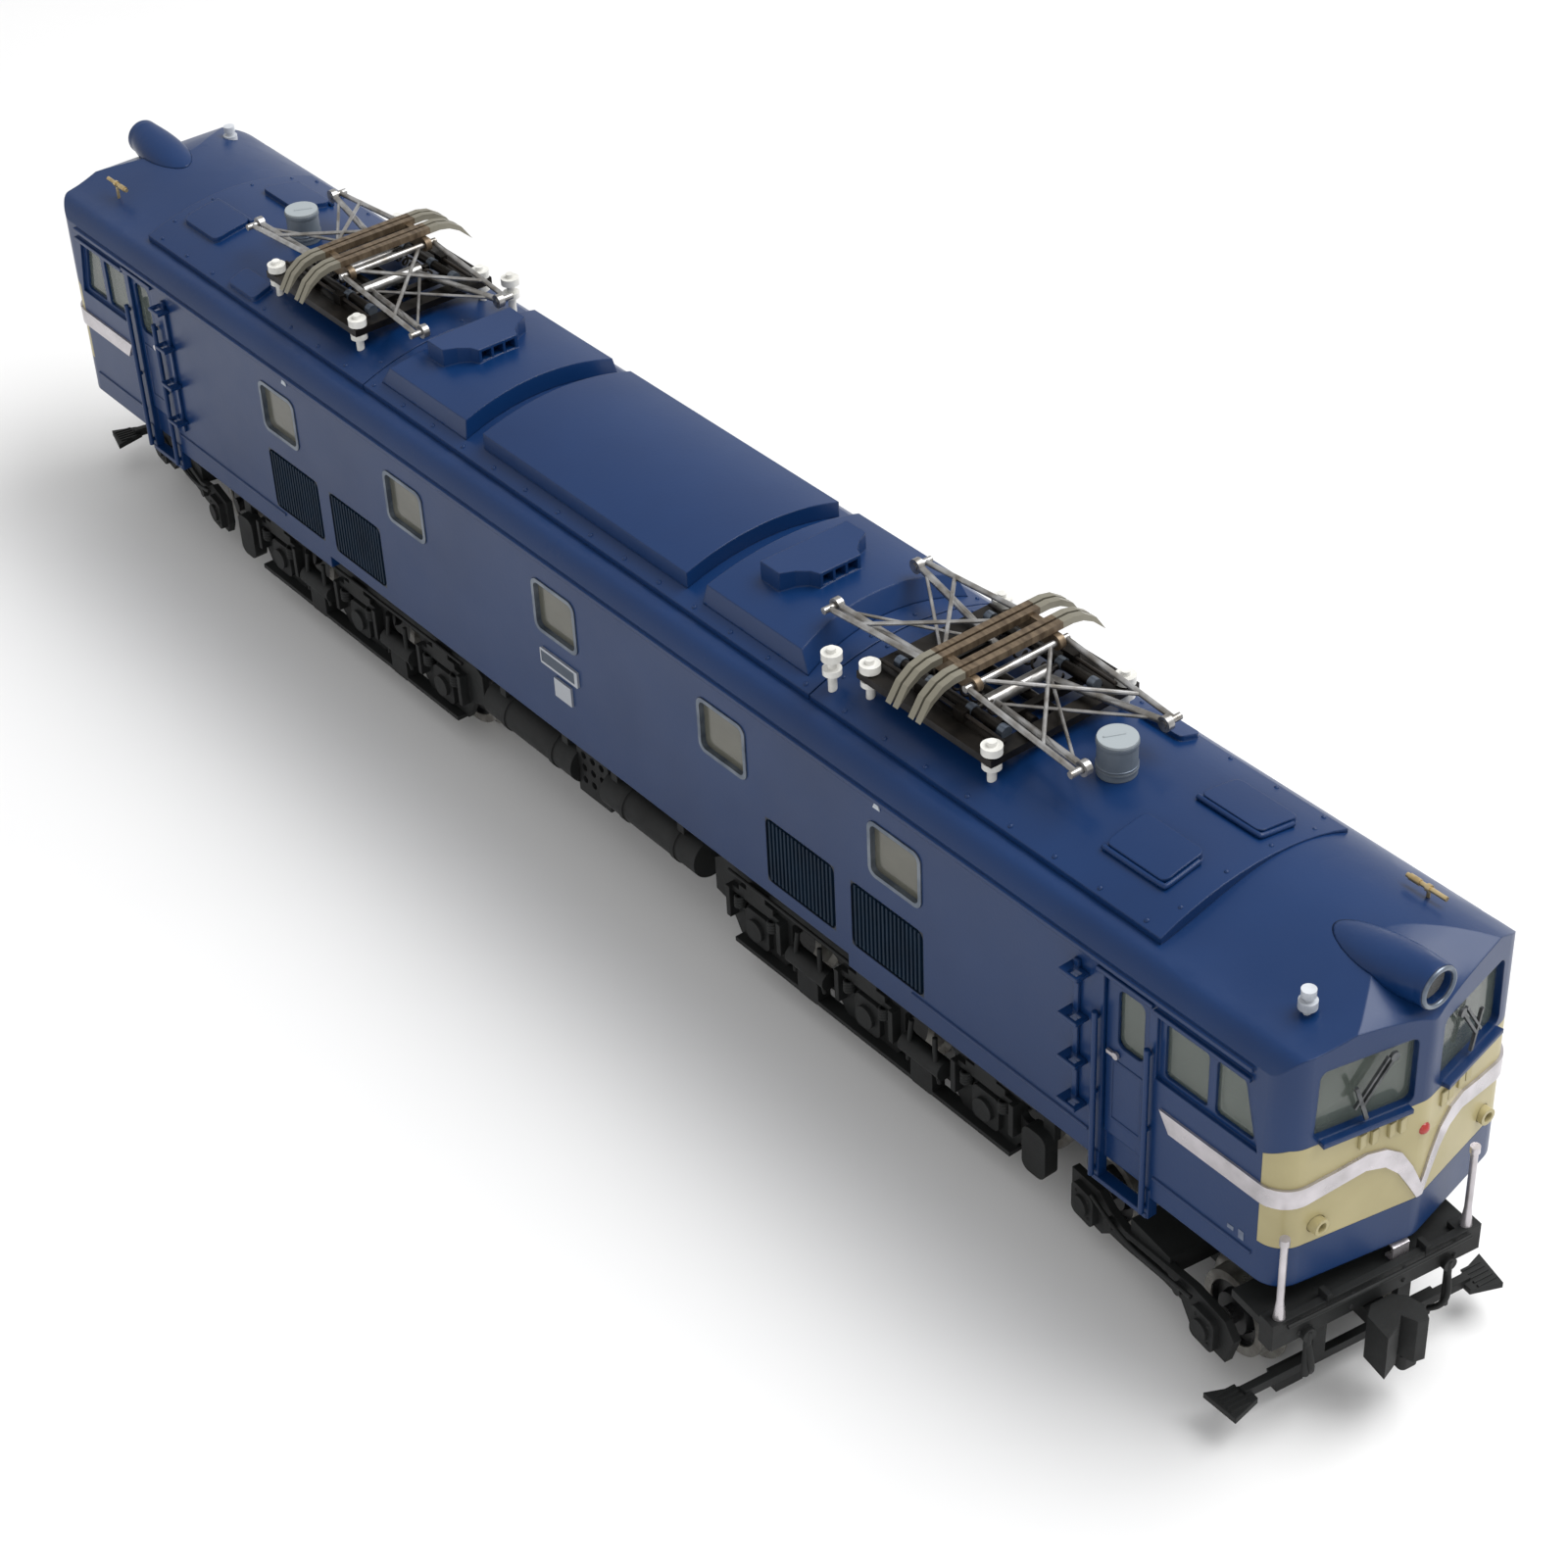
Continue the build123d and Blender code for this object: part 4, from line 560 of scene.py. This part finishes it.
for direction in (1, -1):
    end = "front" if direction > 0 else "rear"
    springs, pipes, hangers = [], [], []
    for side in (-1, 1):
        for axle in AXLES:
            for shift in (-3.0, 3.0):
                springs.append([(direction * (axle + shift + 0.6 * math.cos(t * 0.8)),
                                 side * BOGIE_FACE + 0.6 * math.sin(t * 0.8), 9.4 + t * 0.05)
                                for t in range(34)])
        for gap in AXLE_GAPS:
            for lean in (-1, 1):
                drops = ((1.9, 13.2, 12.6), (2.1, 13.5, 9.6), (2.6, 13.2, 6.6))
                hangers.append([(direction * (gap + lean * reach), side * out, height_mm)
                                for reach, out, height_mm in drops])
        pipes.append([(direction * 27.0, side * 12.9, 13.6), (direction * 45.0, side * 13.1, 13.8),
                      (direction * 62.0, side * 13.1, 13.6), (direction * 79.0, side * 12.9, 13.2)])
    tube("axle_springs_" + end, springs, 0.2, under_black, "bogie_" + end)
    tube("brake_hangers_" + end, hangers, 0.3, under_black, "bogie_" + end)
    tube("bogie_pipes_" + end, pipes, 0.22, under_black, "bogie_" + end)
    hoses, rods = [], []
    for side in (-1, 1):
        hose = ((119.6, 8.6, 11.0), (120.3, 8.5, 8.6), (119.8, 8.0, 6.4), (118.6, 7.6, 5.4))
        hoses.append([on_truck(direction, along, side * out, up) for along, out, up in hose])
        rod = ((90.0, 13.0, 8.3), (95.0, 13.1, 6.6), (102.0, 13.1, 7.6), (107.0, 13.0, 8.4))
        rods.append([on_truck(direction, along, side * out, up) for along, out, up in rod])
    cross_rod = ((119.6, -11.2, 14.4), (120.0, 0.0, 14.6), (119.6, 11.2, 14.4))
    rods.append([on_truck(direction, along, out, up) for along, out, up in cross_rod])
    tube("brake_hoses_" + end, hoses, 0.34, under_black, "truck_" + end)
    tube("truck_rods_" + end, rods, 0.24, under_black, "truck_" + end)
    heads = bmesh.new()
    for side in (-1, 1):
        for along in (88.5, 109.0):
            for rise in (-1.2, 1.2):
                for shift in (-1.1, 1.1):
                    spot = on_truck(direction, along + shift, side * 13.08, 5.75 + rise)
                    outward = on_truck(direction, along + shift, side * 14.08, 5.75 + rise)
                    add_dome(heads, [c * MM for c in spot], 0.22 * MM, 0.2 * MM,
                             Vector(outward) - Vector(spot))
    for across_mm in (-9.5, -3.2, 3.2, 9.5):
        for height_mm in (12.4, 14.1):
            spot = on_truck(direction, BEAM_FACE, across_mm, height_mm)
            outward = on_truck(direction, BEAM_FACE + 1, across_mm, height_mm)
            add_dome(heads, [c * MM for c in spot], 0.26 * MM, 0.22 * MM,
                     Vector(outward) - Vector(spot))
    from_bmesh("truck_bolts_" + end, heads, under_black, "truck_" + end)
    # folded bright bracket on the deck behind the buffer beam
    fold = bmesh.new()
    profile = [(117.0, 14.2), (118.1, 14.2), (118.1, 16.0), (116.6, 16.6), (116.6, 16.3), (117.8, 15.8),
               (117.8, 14.5), (117.0, 14.5)]
    corners = [Vector(on_truck(direction, along, 2.6, up)) * MM for along, up in profile]
    near_end = Vector(on_truck(direction, 117.0, 2.6, 14.2))
    far_end = Vector(on_truck(direction, 117.0, 4.6, 14.2))
    add_prism(fold, corners, (0, 0, 0), (far_end - near_end) * MM)
    from_bmesh("deck_bracket_" + end, fold, trim_metal, "truck_" + end, smooth=False)

# ---------------------------------------------------------------- stage
scene.view_settings.view_transform = "Standard"
floor_mesh = bpy.data.meshes.new("studio_floor")
floor_work = bmesh.new()
bmesh.ops.create_grid(floor_work, x_segments=8, y_segments=8, size=3.0)
floor_work.to_mesh(floor_mesh)
floor_work.free()
floor = bpy.data.objects.new("studio_floor", floor_mesh)
scene.collection.objects.link(floor)
floor_mesh.materials.append(floor_grey.material)

world = bpy.data.worlds.new("studio")
scene.world = world
world.use_nodes = True
world.node_tree.nodes["Background"].inputs["Color"].default_value = (1, 1, 1, 1)
world.node_tree.nodes["Background"].inputs["Strength"].default_value = 0.68


def soft_light(name, spot, aim, size, power):
    """Rectangular lamp at a spot, in metres, turned to its aim."""
    lamp = bpy.data.lights.new(name, "AREA")
    lamp.shape = "RECTANGLE"
    lamp.size, lamp.size_y = size
    lamp.energy = power
    item = bpy.data.objects.new(name, lamp)
    scene.collection.objects.link(item)
    item.location = spot
    item.rotation_euler = (Vector(aim) - Vector(spot)).to_track_quat("-Z", "Y").to_euler()


soft_light("key_light", (0.25, 0.35, 0.75), (0, 0, 0.02), (0.7, 0.5), 7.0)
soft_light("fill_light", (0.6, -0.7, 0.45), (0.03, 0, 0.02), (0.6, 0.4), 0.8)

# ---------------------------------------------------------------- camera
AZIMUTH = math.radians(53.13)
ELEVATION = math.radians(37.32)
ROLL = math.radians(-2.85)
LENS_LENGTH, SENSOR_WIDTH = 73.5075, 36.0
CAMERA_SPOT = Vector((0.25761, -0.17741, 0.24124))
forward = Vector((-math.sin(AZIMUTH) * math.cos(ELEVATION), math.cos(AZIMUTH) * math.cos(ELEVATION),
                  -math.sin(ELEVATION)))
right = Vector((math.cos(AZIMUTH), math.sin(AZIMUTH), 0))
upward = right.cross(forward)
tilted_right = right * math.cos(ROLL) + upward * math.sin(ROLL)
tilted_up = upward * math.cos(ROLL) - right * math.sin(ROLL)
lens = bpy.data.cameras.new("photo_camera")
lens.sensor_width = SENSOR_WIDTH
lens.lens = LENS_LENGTH
lens.clip_start = 0.01
camera = bpy.data.objects.new("photo_camera", lens)
scene.collection.objects.link(camera)
turn = Matrix((tilted_right, tilted_up, -forward)).transposed().to_4x4()
camera.matrix_world = Matrix.Translation(CAMERA_SPOT) @ turn
scene.camera = camera
